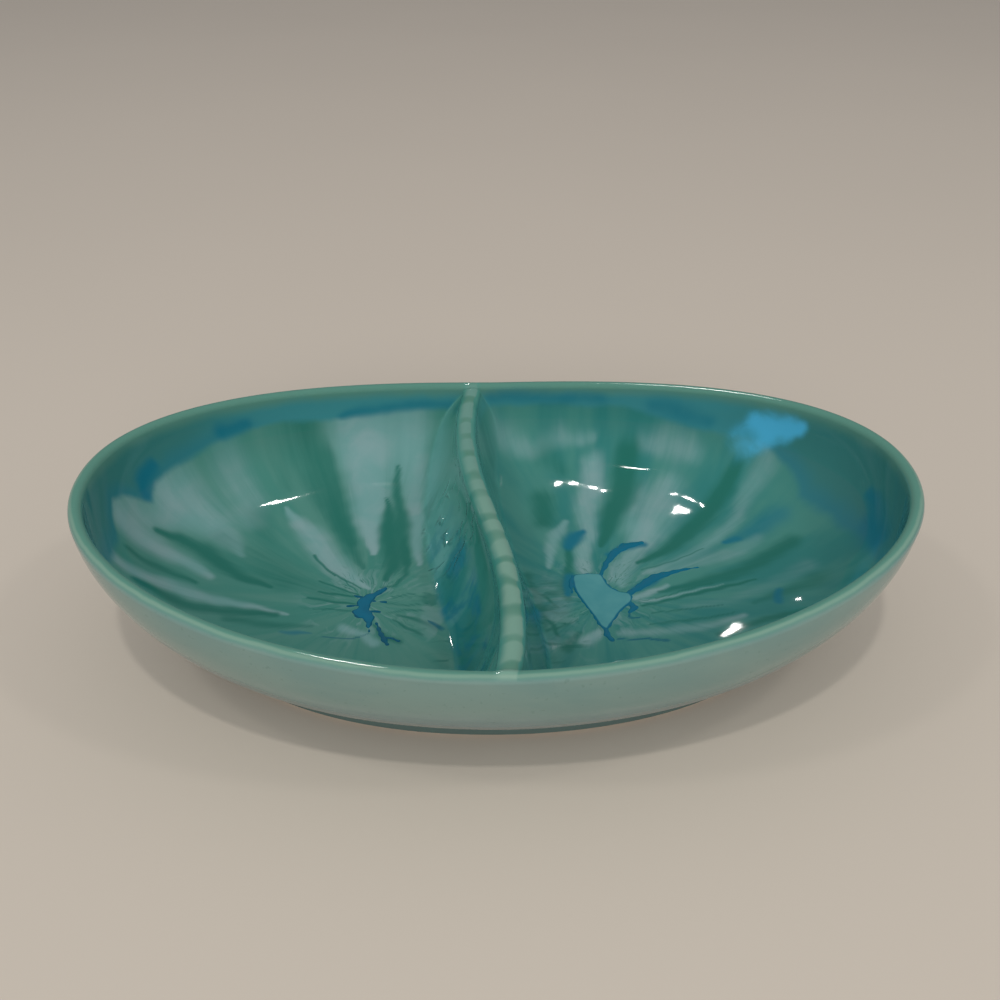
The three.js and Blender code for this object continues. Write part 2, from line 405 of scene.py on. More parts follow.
LEFT_RUNS = (
    *runs(
        Tone.PALE,
        (0.5, 0.95, (-60, 85, 15), (-57, 68, 10), (-55, 52, 8), (-54, 40, 6), (-52.5, 30, 4),
         (-51, 18, 1.4)),
        (0.8, 0.75, (-39, 87, 10), (-37.5, 72, 7.4), (-36, 58, 5), (-34.5, 42, 4), (-33.5, 28, 3),
         (-32, 12, 1.4)),
        (0.9, 0.5, (-113, 54, 8), (-106, 44, 7), (-101, 32, 5)),
        (0.7, 0.85, (-90, 43, 1), (-84, 36, 3.4), (-77, 28, 5), (-71, 18, 5), (-64, 9, 5.4), (-57, 1, 4),
         (-51, -4.5, 1)),
        (0.8, 0.75, (-140, 30, 7), (-128, 32, 11), (-117, 27, 9), (-109, 19, 5), (-103, 12, 1.6)),
        (0.9, 0.6, (-142, 14, 6), (-132, 20, 6)),
        (0.8, 0.75, (-147, 5, 5), (-134, 5, 5), (-122, 1, 3.6), (-112, -4, 2)),
        (0.9, 0.75, (-143, -14, 3.4), (-122, -15.5, 3.6), (-106, -17.5, 3), (-92, -20, 1.8),
         (-80, -22, 0.8)),
        (0.6, 0.8, (-58, -29, 2.4), (-50, -31.5, 2), (-46.5, -37, 2.6)),
    ),
    *runs(
        Tone.DEEP,
        (0.7, 0.65, (-85, 77, 8), (-78, 60, 7), (-71, 46, 6), (-65, 33, 5), (-60, 21, 3.4), (-53.5, 8, 1)),
        (0.8, 0.6, (-74, 72, 3), (-69, 52, 3), (-64.5, 34, 3.4), (-61, 25, 2)),
        (0.9, 0.35, (-95, 66, 5), (-90, 54, 4)),
        (0.9, 0.4, (-100, 36, 5), (-92, 16, 7), (-80, 0, 7), (-66, -10, 3)),
        (0.8, 0.95, (-134, 13, 1.4), (-126, 14, 3), (-117, 10, 4), (-109, 4.6, 3.6), (-100, -1, 2.6),
         (-88, -6.5, 1)),
        (0.9, 0.75, (-140, -3.5, 1.4), (-127, -7, 2.2), (-116, -9.5, 1.2)),
        (0.8, 0.85, (-134, -19, 1.6), (-116, -24, 3), (-98, -24, 3), (-84, -22.5, 1.4)),
        (0.9, 0.6, (-100, -29, 2), (-84, -29, 2.4), (-70, -28.5, 1)),
        (0.95, 0.4, (-112, 20, 5), (-98, 8, 6), (-84, -4, 5)),
        (0.9, 0.8, (-44, 72, 0.9), (-43, 60, 2), (-42, 48, 2.8), (-40, 36, 3.4), (-38.4, 24, 3),
         (-38, 12, 1.6)),
        (0.8, 0.95, (-47.6, 54, 0.8), (-46.5, 43, 2.6), (-45, 32, 4), (-43.4, 20, 4.4), (-42.4, 9, 3.6),
         (-44, 1, 1.2)),
        (0.8, 0.8, (-39, 27, 0.8), (-37, 14, 1.4), (-36.8, 5, 1.3), (-40, -2, 0.9), (-46, -4, 0.5)),
        (0.8, 0.8, (-39, -20, 0.6), (-31, -24, 1.3), (-24, -28, 1.6)),
        (0.8, 0.8, (-46, -26, 0.8), (-42, -34, 2), (-36, -37, 1.4)),
        (0.8, 0.9, (-74, 15, 0.8), (-71, 11, 0.7), (-65, 4, 0.4)),
        (0.8, 0.8, (-68, 8, 0.4), (-60, 0, 0.6), (-54, -5, 0.4)),
        (0.8, 0.8, (-71, 0, 0.4), (-62, -5, 0.6), (-55, -9, 0.4)),
        (0.8, 0.9, (-70, -7, 0.5), (-60, -9.5, 0.7), (-55, -10, 0.4)),
        (0.8, 0.9, (-73, -11, 0.5), (-62, -14, 0.8), (-55, -14.5, 0.5)),
        (0.8, 0.7, (-70, -18, 0.4), (-60, -18.5, 0.6), (-55, -19, 0.4)),
        (0.8, 0.7, (-42, -9, 0.4), (-34, -7, 0.6), (-28, -9, 0.4)),
        (0.8, 0.7, (-44, -12.5, 0.4), (-36, -14, 0.7), (-27, -13.5, 0.4)),
        (0.8, 0.7, (-43, -18.4, 0.4), (-35, -17, 0.7), (-27, -18, 0.4)),
        (0.8, 0.8, (-40, -23, 0.5), (-34, -29, 0.9), (-28, -33, 0.6)),
    ),
    *runs(
        Tone.BLUE,
        (0.95, 0.7, (-25, 10, 1.2), (-22, -4, 2.4), (-18.5, -18, 3.6), (-14, -33, 4)),
        (0.9, 0.6, (-80, -32.5, 1), (-75, -33, 1.5), (-70, -32.8, 0.6)),
    ),
    *runs(
        Tone.VEIN,
        (0.7, 0.7, (-66, -35, 0.4), (-54, -34.5, 0.6), (-48.5, -31, 0.5)),
        (0.7, 0.6, (-27, -24.5, 0.6), (-21.5, -29, 1.2)),
    ),
)

RIGHT_RUNS = (
    *runs(
        Tone.PALE,
        (0.7, 0.75, (44.5, 72, 5), (43, 60, 6), (40.5, 48, 6), (38.6, 37, 4.6), (38, 27, 3.4),
         (35.5, 17, 3.4), (34.4, 7, 3.2)),
        (0.8, 0.7, (29, 38, 1.6), (25, 29, 3.6), (22, 18, 2.6), (20, 8, 1)),
        (0.7, 0.65, (76, 55, 7), (70, 46, 12), (65, 35, 11), (61, 26, 6)),
        (0.6, 0.7, (62, 28, 6), (56, 16, 4.5), (51, 8, 5), (47, 0, 4.4), (48, -5, 1.6)),
        (0.9, 0.5, (1, 87, 4), (10, 83, 5), (17, 80, 4), (30, 84, 3), (45, 82, 2)),
        (0.9, 0.5, (66, 77, 3), (78, 72, 5), (88, 67, 4)),
        (0.9, 0.5, (116, 52, 5), (109, 45, 4.4), (104, 37, 3.6), (98, 28, 3.4), (90, 20, 3.4), (80, 13, 3),
         (58, 2.5, 1)),
        (0.95, 0.45, (106, 17, 3), (96, 11, 4), (84, 7, 3.4), (72, 4.4, 2.4), (62, 2, 2)),
        (0.6, 0.8, (66, -6, 1.2), (58, -9.5, 1.8), (53, -12.5, 1.8)),
        (0.95, 0.3, (120, -6, 4), (104, -13, 3.6), (88, -18, 3), (70, -20.5, 2)),
        (0.95, 0.55, (90, -29, 1.6), (76, -32.5, 2.4), (60, -34.4, 2.6), (44, -33, 1.8)),
        (0.6, 0.85, (36, -33, 2), (32, -38, 3)),
        (0.8, 0.7, (55, -15, 1), (72, -11.8, 0.7), (88, -8, 0.4)),
    ),
    *runs(
        Tone.DEEP,
        (0.6, 1.0, (60, 74, 5), (57.5, 62, 6), (53, 50, 5.6), (49.4, 40, 4.6), (46, 31, 3.2), (43, 22, 1)),
        (0.6, 1.0, (104, 56, 3), (99, 48, 4.4), (92, 40, 4.6), (85, 32.6, 4.8), (78, 25, 4),
         (70, 17.4, 2.8), (57, 9, 1)),
        (0.9, 0.8, (21, 54, 5.6), (20, 40, 5)),
        (0.9, 0.5, (24, 78, 7), (30, 71, 4)),
        (0.8, 0.8, (118, 10, 4), (104, 3, 4.4), (90, -3, 3.8), (76, -7, 2.4), (62, -9.4, 0.9)),
        (0.8, 0.9, (100, -7.5, 0.6), (88, -9.6, 1.1), (74, -13, 0.9), (55, -17.5, 0.6)),
        (0.9, 0.6, (120, -15, 5), (112, -18, 3), (96, -22, 1.4)),
        (0.9, 0.8, (112, -32, 1.6), (98, -34.5, 2.2), (80, -38.5, 1.6)),
        (0.8, 0.85, (30, 20, 1.6), (28.4, 10, 1.8), (27, -2, 2.4), (27, -11, 1.8)),
        (0.9, 0.6, (12, 4, 2), (14, -10, 2.4), (16, -29, 2.6)),
        (0.8, 0.8, (24, -42, 2.6), (29, -33, 1.4)),
        (0.8, 0.7, (58, -22.5, 0.4), (70, -22, 0.6), (84, -20, 0.4)),
        (0.8, 0.7, (60, -13.5, 0.4), (72, -10, 0.6), (84, -7, 0.4)),
        (0.8, 0.7, (56, -29.6, 0.5), (72, -28.4, 0.8), (88, -25.6, 0.5)),
        (0.8, 0.6, (58, 4.6, 0.4), (72, 9.6, 0.6), (84, 15, 0.4)),
        (0.8, 0.8, (13, -6, 0.6), (18, -10, 0.9), (22, -16, 0.6)),
        (0.8, 0.8, (16, -20, 0.6), (20, -26, 1), (22, -34, 0.7)),
        (0.8, 0.7, (18, -30, 0.6), (25, -27, 0.7), (29, -24, 0.4)),
        (0.8, 0.7, (14, -16, 0.5), (22, -20, 0.8), (28, -18, 0.4)),
    ),
    *runs(
        Tone.BLUE,
        (0.95, 0.5, (116, 27, 6), (106, 22, 5), (94, 17.6, 1.4)),
        (0.8, 0.6, (99, 18.4, 1.5), (93.5, 17.4, 1)),
        (0.8, 0.75, (107, -17, 1.6), (104.5, -24, 1.8)),
        (0.6, 0.95, (30, 21, 2.4), (32.5, 27, 3.6), (36, 31, 1.6)),
        (0.7, 0.8, (46, 16, 1.4), (52, 20, 2.4), (60, 21, 1.8)),
        (0.7, 0.8, (53, -7, 1.6), (58, -4, 2.2), (65, -0.5, 1)),
        (0.9, 0.8, (28, 3, 2), (27.5, -8, 1.6)),
        (0.8, 0.9, (13, -20, 2.4), (12, -36, 3)),
    ),
    *runs(
        Tone.VEIN,
        (0.6, 0.7, (50, -20, 0.5), (49, -24, 0.6), (53, -25, 0.4)),
        (0.7, 0.7, (43, -36.5, 0.5), (54, -38, 0.7), (60, -40, 1.2)),
    ),
)

RIM_RUNS = (
    *runs(
        Tone.BLUE,
        (0.95, 0.6, (97, 11, 2.6), (106, 11.5, 3.2), (113, 13, 2.8), (117, 15, 1.6)),
        (0.95, 0.7, (135, 12.5, 3.4), (141, 13.5, 4)),
        (0.95, 0.85, (159, 18, 3.4), (164, 21, 4.6), (165, 26, 3)),
        (0.95, 0.5, (90, 7, 3.4), (82, 7.5, 3.8), (72, 9, 3.4)),
        (0.95, 0.5, (62, 11, 4.4), (56, 14, 5.4), (51, 16, 3.6)),
        (0.95, 0.7, (7, 22, 3), (0, 26, 7), (-7, 27, 6)),
        pitch=RIM_PITCH,
    ),
    *runs(
        Tone.BRIGHT,
        (0.7, 1.0, (42, 13, 4), (38.5, 14, 5.6), (34.5, 13, 5.6), (31.5, 12, 3.4)),
        (0.95, 0.55, (44, 20, 5), (41, 23, 6.4), (38.5, 21, 5)),
        pitch=RIM_PITCH,
    ),
)

BAND_EDGE = (
    (-90, 15), (-40, 19), (-15, 29), (5, 36), (22, 36), (31, 27), (42, 20), (52, 20.5),
    (60, 17), (68, 12.5), (80, 11), (90, 11.5), (110, 13.5), (116, 16), (121, 15), (134, 14.5),
    (140, 17.5), (146, 19.5), (152, 21.5), (160, 23.5), (165, 29), (169, 24), (171, 21), (175, 18.5),
    (178, 23), (181, 28), (188, 29), (205, 22), (270, 15),
)


@dataclass(frozen=True)
class Patch:
    """A face of glaze before it gets its thickness: places in millimetres, and its quads and fans."""

    points: Array
    quads: Array
    fan: Array = field(default_factory=lambda: np.zeros((0, 3), int))

    @property
    def triangles(self) -> Array:
        """All of its faces as triangles."""
        return np.concatenate([self.quads[:, [0, 1, 2]], self.quads[:, [0, 2, 3]], self.fan])


def grid_quads(rows: int, columns: int, wrap: bool) -> Array:
    """Lay quads over a grid of places.

    Args:
        rows: Number of rows.
        columns: Places in a row.
        wrap: Whether each row closes on itself.

    Returns:
        The quads, as indices of places.
    """
    row, column = np.meshgrid(np.arange(rows - 1), np.arange(columns if wrap else columns - 1), indexing="ij")
    start, after = row * columns + column, row * columns + (column + 1) % columns
    return np.stack([start, after, after + columns, start + columns], axis=-1).reshape(-1, 4)


def spaced(points: Array, count: int, crowding: float = 1.0) -> Array:
    """Respace places along a line by its length.

    Args:
        points: Places along the line.
        count: How many places to give back.
        crowding: Above 1, the places crowd towards the start.

    Returns:
        The shares of the places' index, from 0 to 1, at even lengths.
    """
    steps = np.linalg.norm(np.diff(points, axis=0), axis=1)
    length = np.concatenate([[0.0], np.cumsum(steps)])
    wanted = length[-1] * np.linspace(0.0, 1.0, count) ** crowding
    return np.interp(wanted, length, np.linspace(0.0, 1.0, len(points)))


@dataclass
class Lining:
    """The glazed inside of the dish: one unbroken face, parted into wells, dividing wall and rim."""

    bowl: BowlForm
    divider: DividerForm
    thickness: float = 0.4
    crease: float = 3.2
    ridge_rows: int = 190
    flank_columns: int = 48
    arc_columns: int = 230
    well_rows: int = 105
    rim_rows: int = 20
    rim_under: float = 5.0
    left_heart: tuple[float, float] = (-50.5, -14.0)
    right_heart: tuple[float, float] = (40.0, -11.0)
    left_middle: tuple[float, float] = (-68.0, -4.0)
    right_middle: tuple[float, float] = (58.0, -2.0)
    end_share: float = 0.86
    toe_limit: float = 34.0
    end_rounds: int = 20
    flank_samples: int = 500
    ray_samples: int = 400
    ray_crowding: float = 1.3
    swell_seed: int = 784
    swell_waves: int = 8
    swell_steep: float = 0.016
    swell_lengths: tuple[float, float] = (26.0, 48.0)
    swell_fade: float = 0.1

    def swell(self, x: Array, y: Array) -> Array:
        """Give the slow unevenness of the fired glaze, which fades out at the rim.

        Args:
            x: X of the places.
            y: Y of the places.

        Returns:
            Heights over the even face.
        """
        chance = np.random.default_rng(self.swell_seed)
        total = np.zeros_like(x)
        for _ in range(self.swell_waves):
            heading, phase = chance.uniform(0.0, 2.0 * math.pi, 2)
            pace = 2.0 * math.pi / chance.uniform(*self.swell_lengths)
            total = total + np.sin(pace * (x * np.cos(heading) + y * np.sin(heading)) + phase) / pace
        return self.swell_steep * total * smooth_step(1.0 - self.bowl.out(x, y), 0.0, self.swell_fade)

    def height(self, x: Array, y: Array) -> Array:
        """Give the height of the glaze at plan places inside the rim."""
        even = smooth_max(self.bowl.inside(x, y), self.divider.height(x, y), self.crease)
        return even + self.swell(x, y)

    def surface(self, x: Array, y: Array) -> Array:
        """Give the places of the glaze's face over plan places."""
        return np.stack([x, y, self.height(x, y)], axis=-1)

    @cached_property
    def ridge_end(self) -> float:
        """The Y at which the crest meets the wells' edge."""
        y = self.bowl.width / 2.0
        for _ in range(self.end_rounds):
            y = float(self.bowl.edge_y(self.divider.crest_line(np.array(y))))
        return y

    def flank_place(self, share: Array, reach: Array, side: Side) -> tuple[Array, Array]:
        """Find plan places on a flank.

        Args:
            share: How far along the crest, from -1 in front to 1 at the back.
            reach: Distance from the crest line.
            side: Which flank.

        Returns:
            The places, as X and Y, in rows that bend to follow the rim.
        """
        x = self.divider.crest_line(share * self.ridge_end) + side.value * reach
        return x, share * self.bowl.edge_y(x)

    def toe_reach(self, share: Array, side: Side) -> Array:
        """Find where each flank's toe meets the bowl.

        Args:
            share: How far along the crest.
            side: Which flank.

        Returns:
            Distances from the crest line.
        """
        held = np.clip(share, -self.end_share, self.end_share)
        low, high = np.full(share.shape, self.divider.half_crest), np.full(share.shape, self.toe_limit)
        for _ in range(HALVINGS):
            reach = (low + high) / 2.0
            x, y = self.flank_place(held, reach, side)
            proud = self.divider.height(x, y) > self.bowl.inside(x, y)
            low, high = np.where(proud, reach, low), np.where(proud, high, reach)
        return (low + high) / 2.0

    @cached_property
    def ridge_shares(self) -> Array:
        """The rows along the dividing wall, from front to back, closer towards both ends."""
        return np.sin(np.linspace(-math.pi / 2.0, math.pi / 2.0, self.ridge_rows))

    def flank(self, side: Side) -> Array:
        """Lay out one flank.

        Args:
            side: Which flank.

        Returns:
            Places in rows along the wall, each from the crest line to the toe.
        """
        toes = self.toe_reach(self.ridge_shares, side)
        fine = np.linspace(0.0, 1.0, self.flank_samples)
        rows = []
        for share, toe in zip(self.ridge_shares, toes):
            x, y = self.flank_place(np.full(fine.shape, share), fine * toe, side)
            reach = np.interp(spaced(self.surface(x, y), self.flank_columns), fine, fine * toe)
            rows.append(self.surface(*self.flank_place(np.full(reach.shape, share), reach, side)))
        return np.array(rows)

    @cached_property
    def flanks(self) -> dict[Side, Array]:
        """Both flanks' places."""
        return {side: self.flank(side) for side in Side}

    def edge_arc(self, side: Side) -> Array:
        """Walk the edge of a well along the rim, from its back corner round the end to its front corner.

        Args:
            side: Which well.

        Returns:
            The angles of the walk.
        """
        corners = self.flanks[side][:, -1, :2]
        stop, start = (float(self.bowl.turn_at(*corners[row])) for row in (0, -1))
        if side is Side.LEFT:
            stop += 2.0 * math.pi
        return np.linspace(start, stop, self.arc_columns)[1:-1]

    def well(self, side: Side) -> Patch:
        """Lay out a well in rays from its middle to its toe line and its rim.

        Args:
            side: Which well.

        Returns:
            The well's face.
        """
        hub = np.array(self.left_middle if side is Side.LEFT else self.right_middle)
        toe = self.flanks[side][:, -1, :2]
        edge = np.stack(self.bowl.oval(self.edge_arc(side), self.bowl.edge_inset), axis=-1)
        shore = np.concatenate([toe, edge])
        even = np.linspace(0.0, 1.0, self.ray_samples)
        fine = 1.0 - (1.0 - even) ** 2
        way_x, way_y = (shore - hub).T
        rays = self.surface(hub[0] + np.outer(way_x, fine), hub[1] + np.outer(way_y, fine))
        columns = [np.interp(spaced(ray, self.well_rows, self.ray_crowding), even, fine) for ray in rays]
        shares = np.array(columns).T[1:]
        rays = self.surface(hub[0] + shares * way_x, hub[1] + shares * way_y)
        rows, count = rays.shape[:2]
        points = np.concatenate([rays.reshape(-1, 3), self.surface(hub[:1], hub[1:])])
        step = np.arange(count)
        fan = np.stack([np.full(count, rows * count), step, (step + 1) % count], axis=-1)
        quads = grid_quads(rows, count, True)[:, ::-1]
        if side is Side.RIGHT:
            quads, fan = quads[:, ::-1], fan[:, ::-1]
        return Patch(points, quads, fan)

    @cached_property
    def wall_grid(self) -> Array:
        """The dividing wall's places, in rows from its left toe over the crest to its right toe."""
        left, right = self.flanks[Side.LEFT], self.flanks[Side.RIGHT]
        return np.concatenate([left[:, ::-1], right[:, 1:]], axis=1)

    def wall(self) -> Patch:
        """Lay out the dividing wall."""
        return Patch(self.wall_grid.reshape(-1, 3), grid_quads(*self.wall_grid.shape[:2], False))

    def rim_turns(self) -> Array:
        """Give the angles of every place along the wells' edge, all the way round the dish."""
        front, back = self.wall_grid[0, :, :2].T, self.wall_grid[-1, ::-1, :2].T
        left, right = self.edge_arc(Side.LEFT), self.edge_arc(Side.RIGHT)[::-1]
        return np.concatenate([left, self.bowl.turn_at(*front), right, self.bowl.turn_at(*back)])

    def rim(self) -> Patch:
        """Lay out the rim's bead, from the wells' edge over the top to just under its outer side.

        Returns:
            The rim's face, with one row more than the piece has, so that its last row is shaded as if it
            went on.
        """
        turns = self.rim_turns()
        radius = self.bowl.glazed_bead
        rows = []
        for angle in self.rim_angles():
            x, y = self.bowl.oval(turns, self.bowl.bead - radius * math.cos(angle))
            z = self.bowl.rim_at(turns) - self.bowl.bead + radius * math.sin(angle)
            if angle > math.pi / 2.0:
                z = smooth_max(z, self.divider.height(x, y), self.crease)
            rows.append(np.stack([x, y, z], axis=-1))
        grid = np.array(rows)
        return Patch(grid.reshape(-1, 3), grid_quads(*grid.shape[:2], True)[:, ::-1])

    def rim_angles(self) -> Array:
        """Give the angles of the rim's rows round its bead, and of one row past its outer side."""
        step = (math.pi + math.radians(self.rim_under)) / (self.rim_rows - 1)
        return math.pi - step * np.arange(self.rim_rows + 1)


def shared_normals(patches: Sequence[Patch]) -> list[Array]:
    """Shade patches that meet as one unbroken face.

    Args:
        patches: The patches, which share places along their borders.

    Returns:
        A normal for each place of each patch.
    """
    points = np.concatenate([patch.points for patch in patches])
    starts = np.cumsum([0] + [len(patch.points) for patch in patches])
    _, owner = np.unique(np.round(points, MERGE_DIGITS), axis=0, return_inverse=True)
    owner = owner.reshape(-1)
    total = np.zeros((owner.max() + 1, 3))
    for start, patch in zip(starts, patches):
        corners = patch.triangles + start
        first, second, third = (points[corners[:, k]] for k in range(3))
        facing = np.cross(second - first, third - first)
        for k in range(3):
            np.add.at(total, owner[corners[:, k]], facing)
    unit = total / np.linalg.norm(total, axis=1, keepdims=True)
    return np.split(unit[owner], starts[1:-1])


def add_object(name: str, mesh: bpy.types.Mesh) -> bpy.types.Object:
    """Put a mesh into the scene as an object at the origin."""
    made = bpy.data.objects.new(name, mesh)
    bpy.context.scene.collection.objects.link(made)
    return made


def add_marks(mesh: bpy.types.Mesh, marks: Mapping[str, Array]) -> None:
    """Store values on a mesh's places for its material to read.

    Args:
        mesh: The mesh.
        marks: Values or vectors for each place, by name.
    """
    for name, values in marks.items():
        kind, key = ("FLOAT_VECTOR", "vector") if values.ndim == 2 else ("FLOAT", "value")
        mesh.attributes.new(name, kind, "POINT").data.foreach_set(key, values.astype(np.float32).ravel())


def add_shell(
    name: str,
    patch: Patch,
    normals: Array,
    thickness: float,
    material: bpy.types.Material,
    marks: Mapping[str, Array],
) -> bpy.types.Object:
    """Close a patch into a thin shell under its face.

    Args:
        name: Name of the piece.
        patch: The face.
        normals: The face's normals, for its shading and the direction of its thickness.
        thickness: Thickness of the shell, in millimetres.
        material: The finish.
        marks: Values for each place of the face.

    Returns:
        The piece.
    """
    count = len(patch.points)
    rings = [patch.quads, patch.fan]
    starts = np.concatenate([ring.ravel() for ring in rings])
    stops = np.concatenate([np.roll(ring, -1, axis=1).ravel() for ring in rings])
    open_edge = ~np.isin(starts * count + stops, stops * count + starts)
    a, b = starts[open_edge], stops[open_edge]
    sides = np.stack([b, a, a + count, b + count], axis=-1)
    tops = [face for ring in rings for face in ring.tolist()]
    unders = [face for ring in rings for face in (ring[:, ::-1] + count).tolist()]
    points = np.concatenate([patch.points, patch.points - normals * thickness]) * MM
    mesh = bpy.data.meshes.new(name)
    mesh.from_pydata(points.tolist(), [], tops + unders + sides.tolist())
    mesh.polygons.foreach_set("use_smooth", np.arange(len(mesh.polygons)) < len(tops))
    add_marks(mesh, {key: np.concatenate([values, values]) for key, values in marks.items()})
    corners = np.zeros(len(mesh.loops), np.int32)
    mesh.loops.foreach_get("vertex_index", corners)
    facing = np.concatenate([normals, np.zeros_like(normals)])[corners]
    facing[sum(len(face) for face in tops):] = 0.0
    mesh.normals_split_custom_set(facing.tolist())
    mesh.materials.append(material)
    return add_object(name, mesh)


class Web:
    """A hand over one node tree: it adds nodes, sets or links their inputs and gives their outputs back."""

    def __init__(self, tree: bpy.types.NodeTree) -> None:
        """Take hold of a node tree."""
        self.tree = tree

    def node(
        self, kind: str, inputs: Mapping[int | str, Any] | None = None, **settings: Any
    ) -> bpy.types.Node:
        """Add a node.

        Args:
            kind: The node's type.
            inputs: Values, or sockets to link, by the name or index of the input.
            **settings: The node's own settings.

        Returns:
            The node.
        """
        made = self.tree.nodes.new(kind)
        for key, value in settings.items():
            setattr(made, key, value)
        for key, value in (inputs or {}).items():
            self.put(made.inputs[key], value)
        return made

    def put(self, socket: bpy.types.NodeSocket, value: Any) -> None:
        """Link a socket into an input, or set the input's value."""
        if isinstance(value, bpy.types.NodeSocket):
            self.tree.links.new(value, socket)
        else:
            socket.default_value = value

    def math(self, operation: str, *values: Any) -> bpy.types.NodeSocket:
        """Add a Math node and give its result."""
        return self.node("ShaderNodeMath", dict(enumerate(values)), operation=operation).outputs[0]

    def times(self, first: Any, *others: Any) -> Any:
        """Multiply values with each other."""
        for other in others:
            first = self.math("MULTIPLY", first, other)
        return first

    def rest(self, share: Any) -> bpy.types.NodeSocket:
        """Give what a share leaves of 1."""
        return self.math("SUBTRACT", 1.0, share)

    def stir(self, value: Any, noise: Any, amount: float) -> bpy.types.NodeSocket:
        """Shift a value up and down by a noise from 0 to 1."""
        return self.math("MULTIPLY_ADD", self.math("SUBTRACT", noise, 0.5), amount, value)

    def part(self, vector: Any, axis: int) -> bpy.types.NodeSocket:
        """Take one part of a vector."""
        return self.node("ShaderNodeSeparateXYZ", {0: vector}).outputs[axis]

    def vector(self, x: Any, y: Any, z: Any) -> bpy.types.NodeSocket:
        """Join three values into a vector."""
        return self.node("ShaderNodeCombineXYZ", {0: x, 1: y, 2: z}).outputs[0]

    def stretched(self, vector: Any, scale: tuple[float, float, float]) -> bpy.types.NodeSocket:
        """Scale a vector along each of its axes."""
        return self.node("ShaderNodeVectorMath", {0: vector, 1: scale}, operation="MULTIPLY").outputs[0]

    def step(self, value: Any, low: Any, high: Any) -> bpy.types.NodeSocket:
        """Ease a value from 0 at `low` to 1 at `high`."""
        limits = {"Value": value, "From Min": low, "From Max": high}
        return self.node("ShaderNodeMapRange", limits, interpolation_type="SMOOTHSTEP").outputs[0]

    def mix(self, share: Any, first: Any, second: Any) -> bpy.types.NodeSocket:
        """Mix two colours."""
        return self.node("ShaderNodeMix", {0: share, 6: first, 7: second}, data_type="RGBA").outputs[2]

    def noise(
        self, vector: Any, scale: float, detail: float = 2.0, bend: float = 0.0
    ) -> bpy.types.NodeSocket:
        """Give a soft noise from 0 to 1 over a vector.

        Args:
            vector: Where the noise is read.
            scale: Its fineness.
            detail: How many finer layers it has.
            bend: How much it is distorted.

        Returns:
            The noise's value.
        """
        inputs = {"Vector": vector, "Scale": scale, "Detail": detail, "Distortion": bend}
        return self.node("ShaderNodeTexNoise", inputs).outputs[0]

    def mark(self, name: str, vector: bool = False) -> bpy.types.NodeSocket:
        """Read a value, or a vector, that is stored on the mesh."""
        return self.node("ShaderNodeAttribute", attribute_name=name).outputs["Vector" if vector else "Fac"]

    def bump(self, height: Any, strength: float, depth: float = MM, **under: Any) -> bpy.types.NodeSocket:
        """Turn a height into a normal.

        Args:
            height: The height, from 0 to 1.
            strength: How fully it shows.
            depth: What a height of 1 stands for, in metres.
            **under: The normal that it lies on, as Normal, where there is one.

        Returns:
            The normal.
        """
        inputs = {"Height": height, "Strength": strength, "Distance": depth, **under}
        return self.node("ShaderNodeBump", inputs).outputs[0]

    def dress(self, shader: bpy.types.Node, colour: Any, roughness: Any, normal: Any) -> None:
        """Link a shader's colour, roughness and normal."""
        for key, value in (("Base Color", colour), ("Roughness", roughness), ("Normal", normal)):
            self.put(shader.inputs[key], value)

    def place(self) -> bpy.types.NodeSocket:
        """Read the object coordinates."""
        return self.node("ShaderNodeTexCoord").outputs["Object"]

    def group(self, tree: bpy.types.NodeTree, inputs: Mapping[str, Any]) -> bpy.types.Node:
        """Place a shader node group with its inputs."""
        made = self.node("ShaderNodeGroup", node_tree=tree)
        for key, value in inputs.items():
            self.put(made.inputs[key], value)
        return made


def new_tree(
    name: str, kind: str, inputs: Mapping[str, Any], outputs: Mapping[str, str]
) -> tuple[Web, bpy.types.Node, bpy.types.Node]:
    """Start a node group.

    Args:
        name: Its name.
        kind: The type of its tree.
        inputs: Default of each input, by name: a number, a colour or a material.
        outputs: Type of each output, by name.

    Returns:
        A hand over the tree, its input node and its output node.
    """
    tree = bpy.data.node_groups.new(name, kind)
    for key, value in inputs.items():
        socket = SOCKETS.get(type(value), "NodeSocketMaterial")
        tree.interface.new_socket(name=key, in_out="INPUT", socket_type=socket).default_value = value
    for key, socket in outputs.items():
        tree.interface.new_socket(name=key, in_out="OUTPUT", socket_type=socket)
    web = Web(tree)
    return web, web.node("NodeGroupInput"), web.node("NodeGroupOutput")


def new_material(name: str, settings: Mapping[str, Any]) -> tuple[Web, bpy.types.Node, bpy.types.Material]:
    """Start a material.

    Args:
        name: Its name.
        settings: Plain values for its shader.

    Returns:
        A hand over its tree, its shader and the material.
    """
    material = bpy.data.materials.new(name)
    material.use_nodes = True
    web = Web(material.node_tree)
    shader = material.node_tree.nodes["Principled BSDF"]
    for key, value in settings.items():
        shader.inputs[key].default_value = value
    return web, shader, material


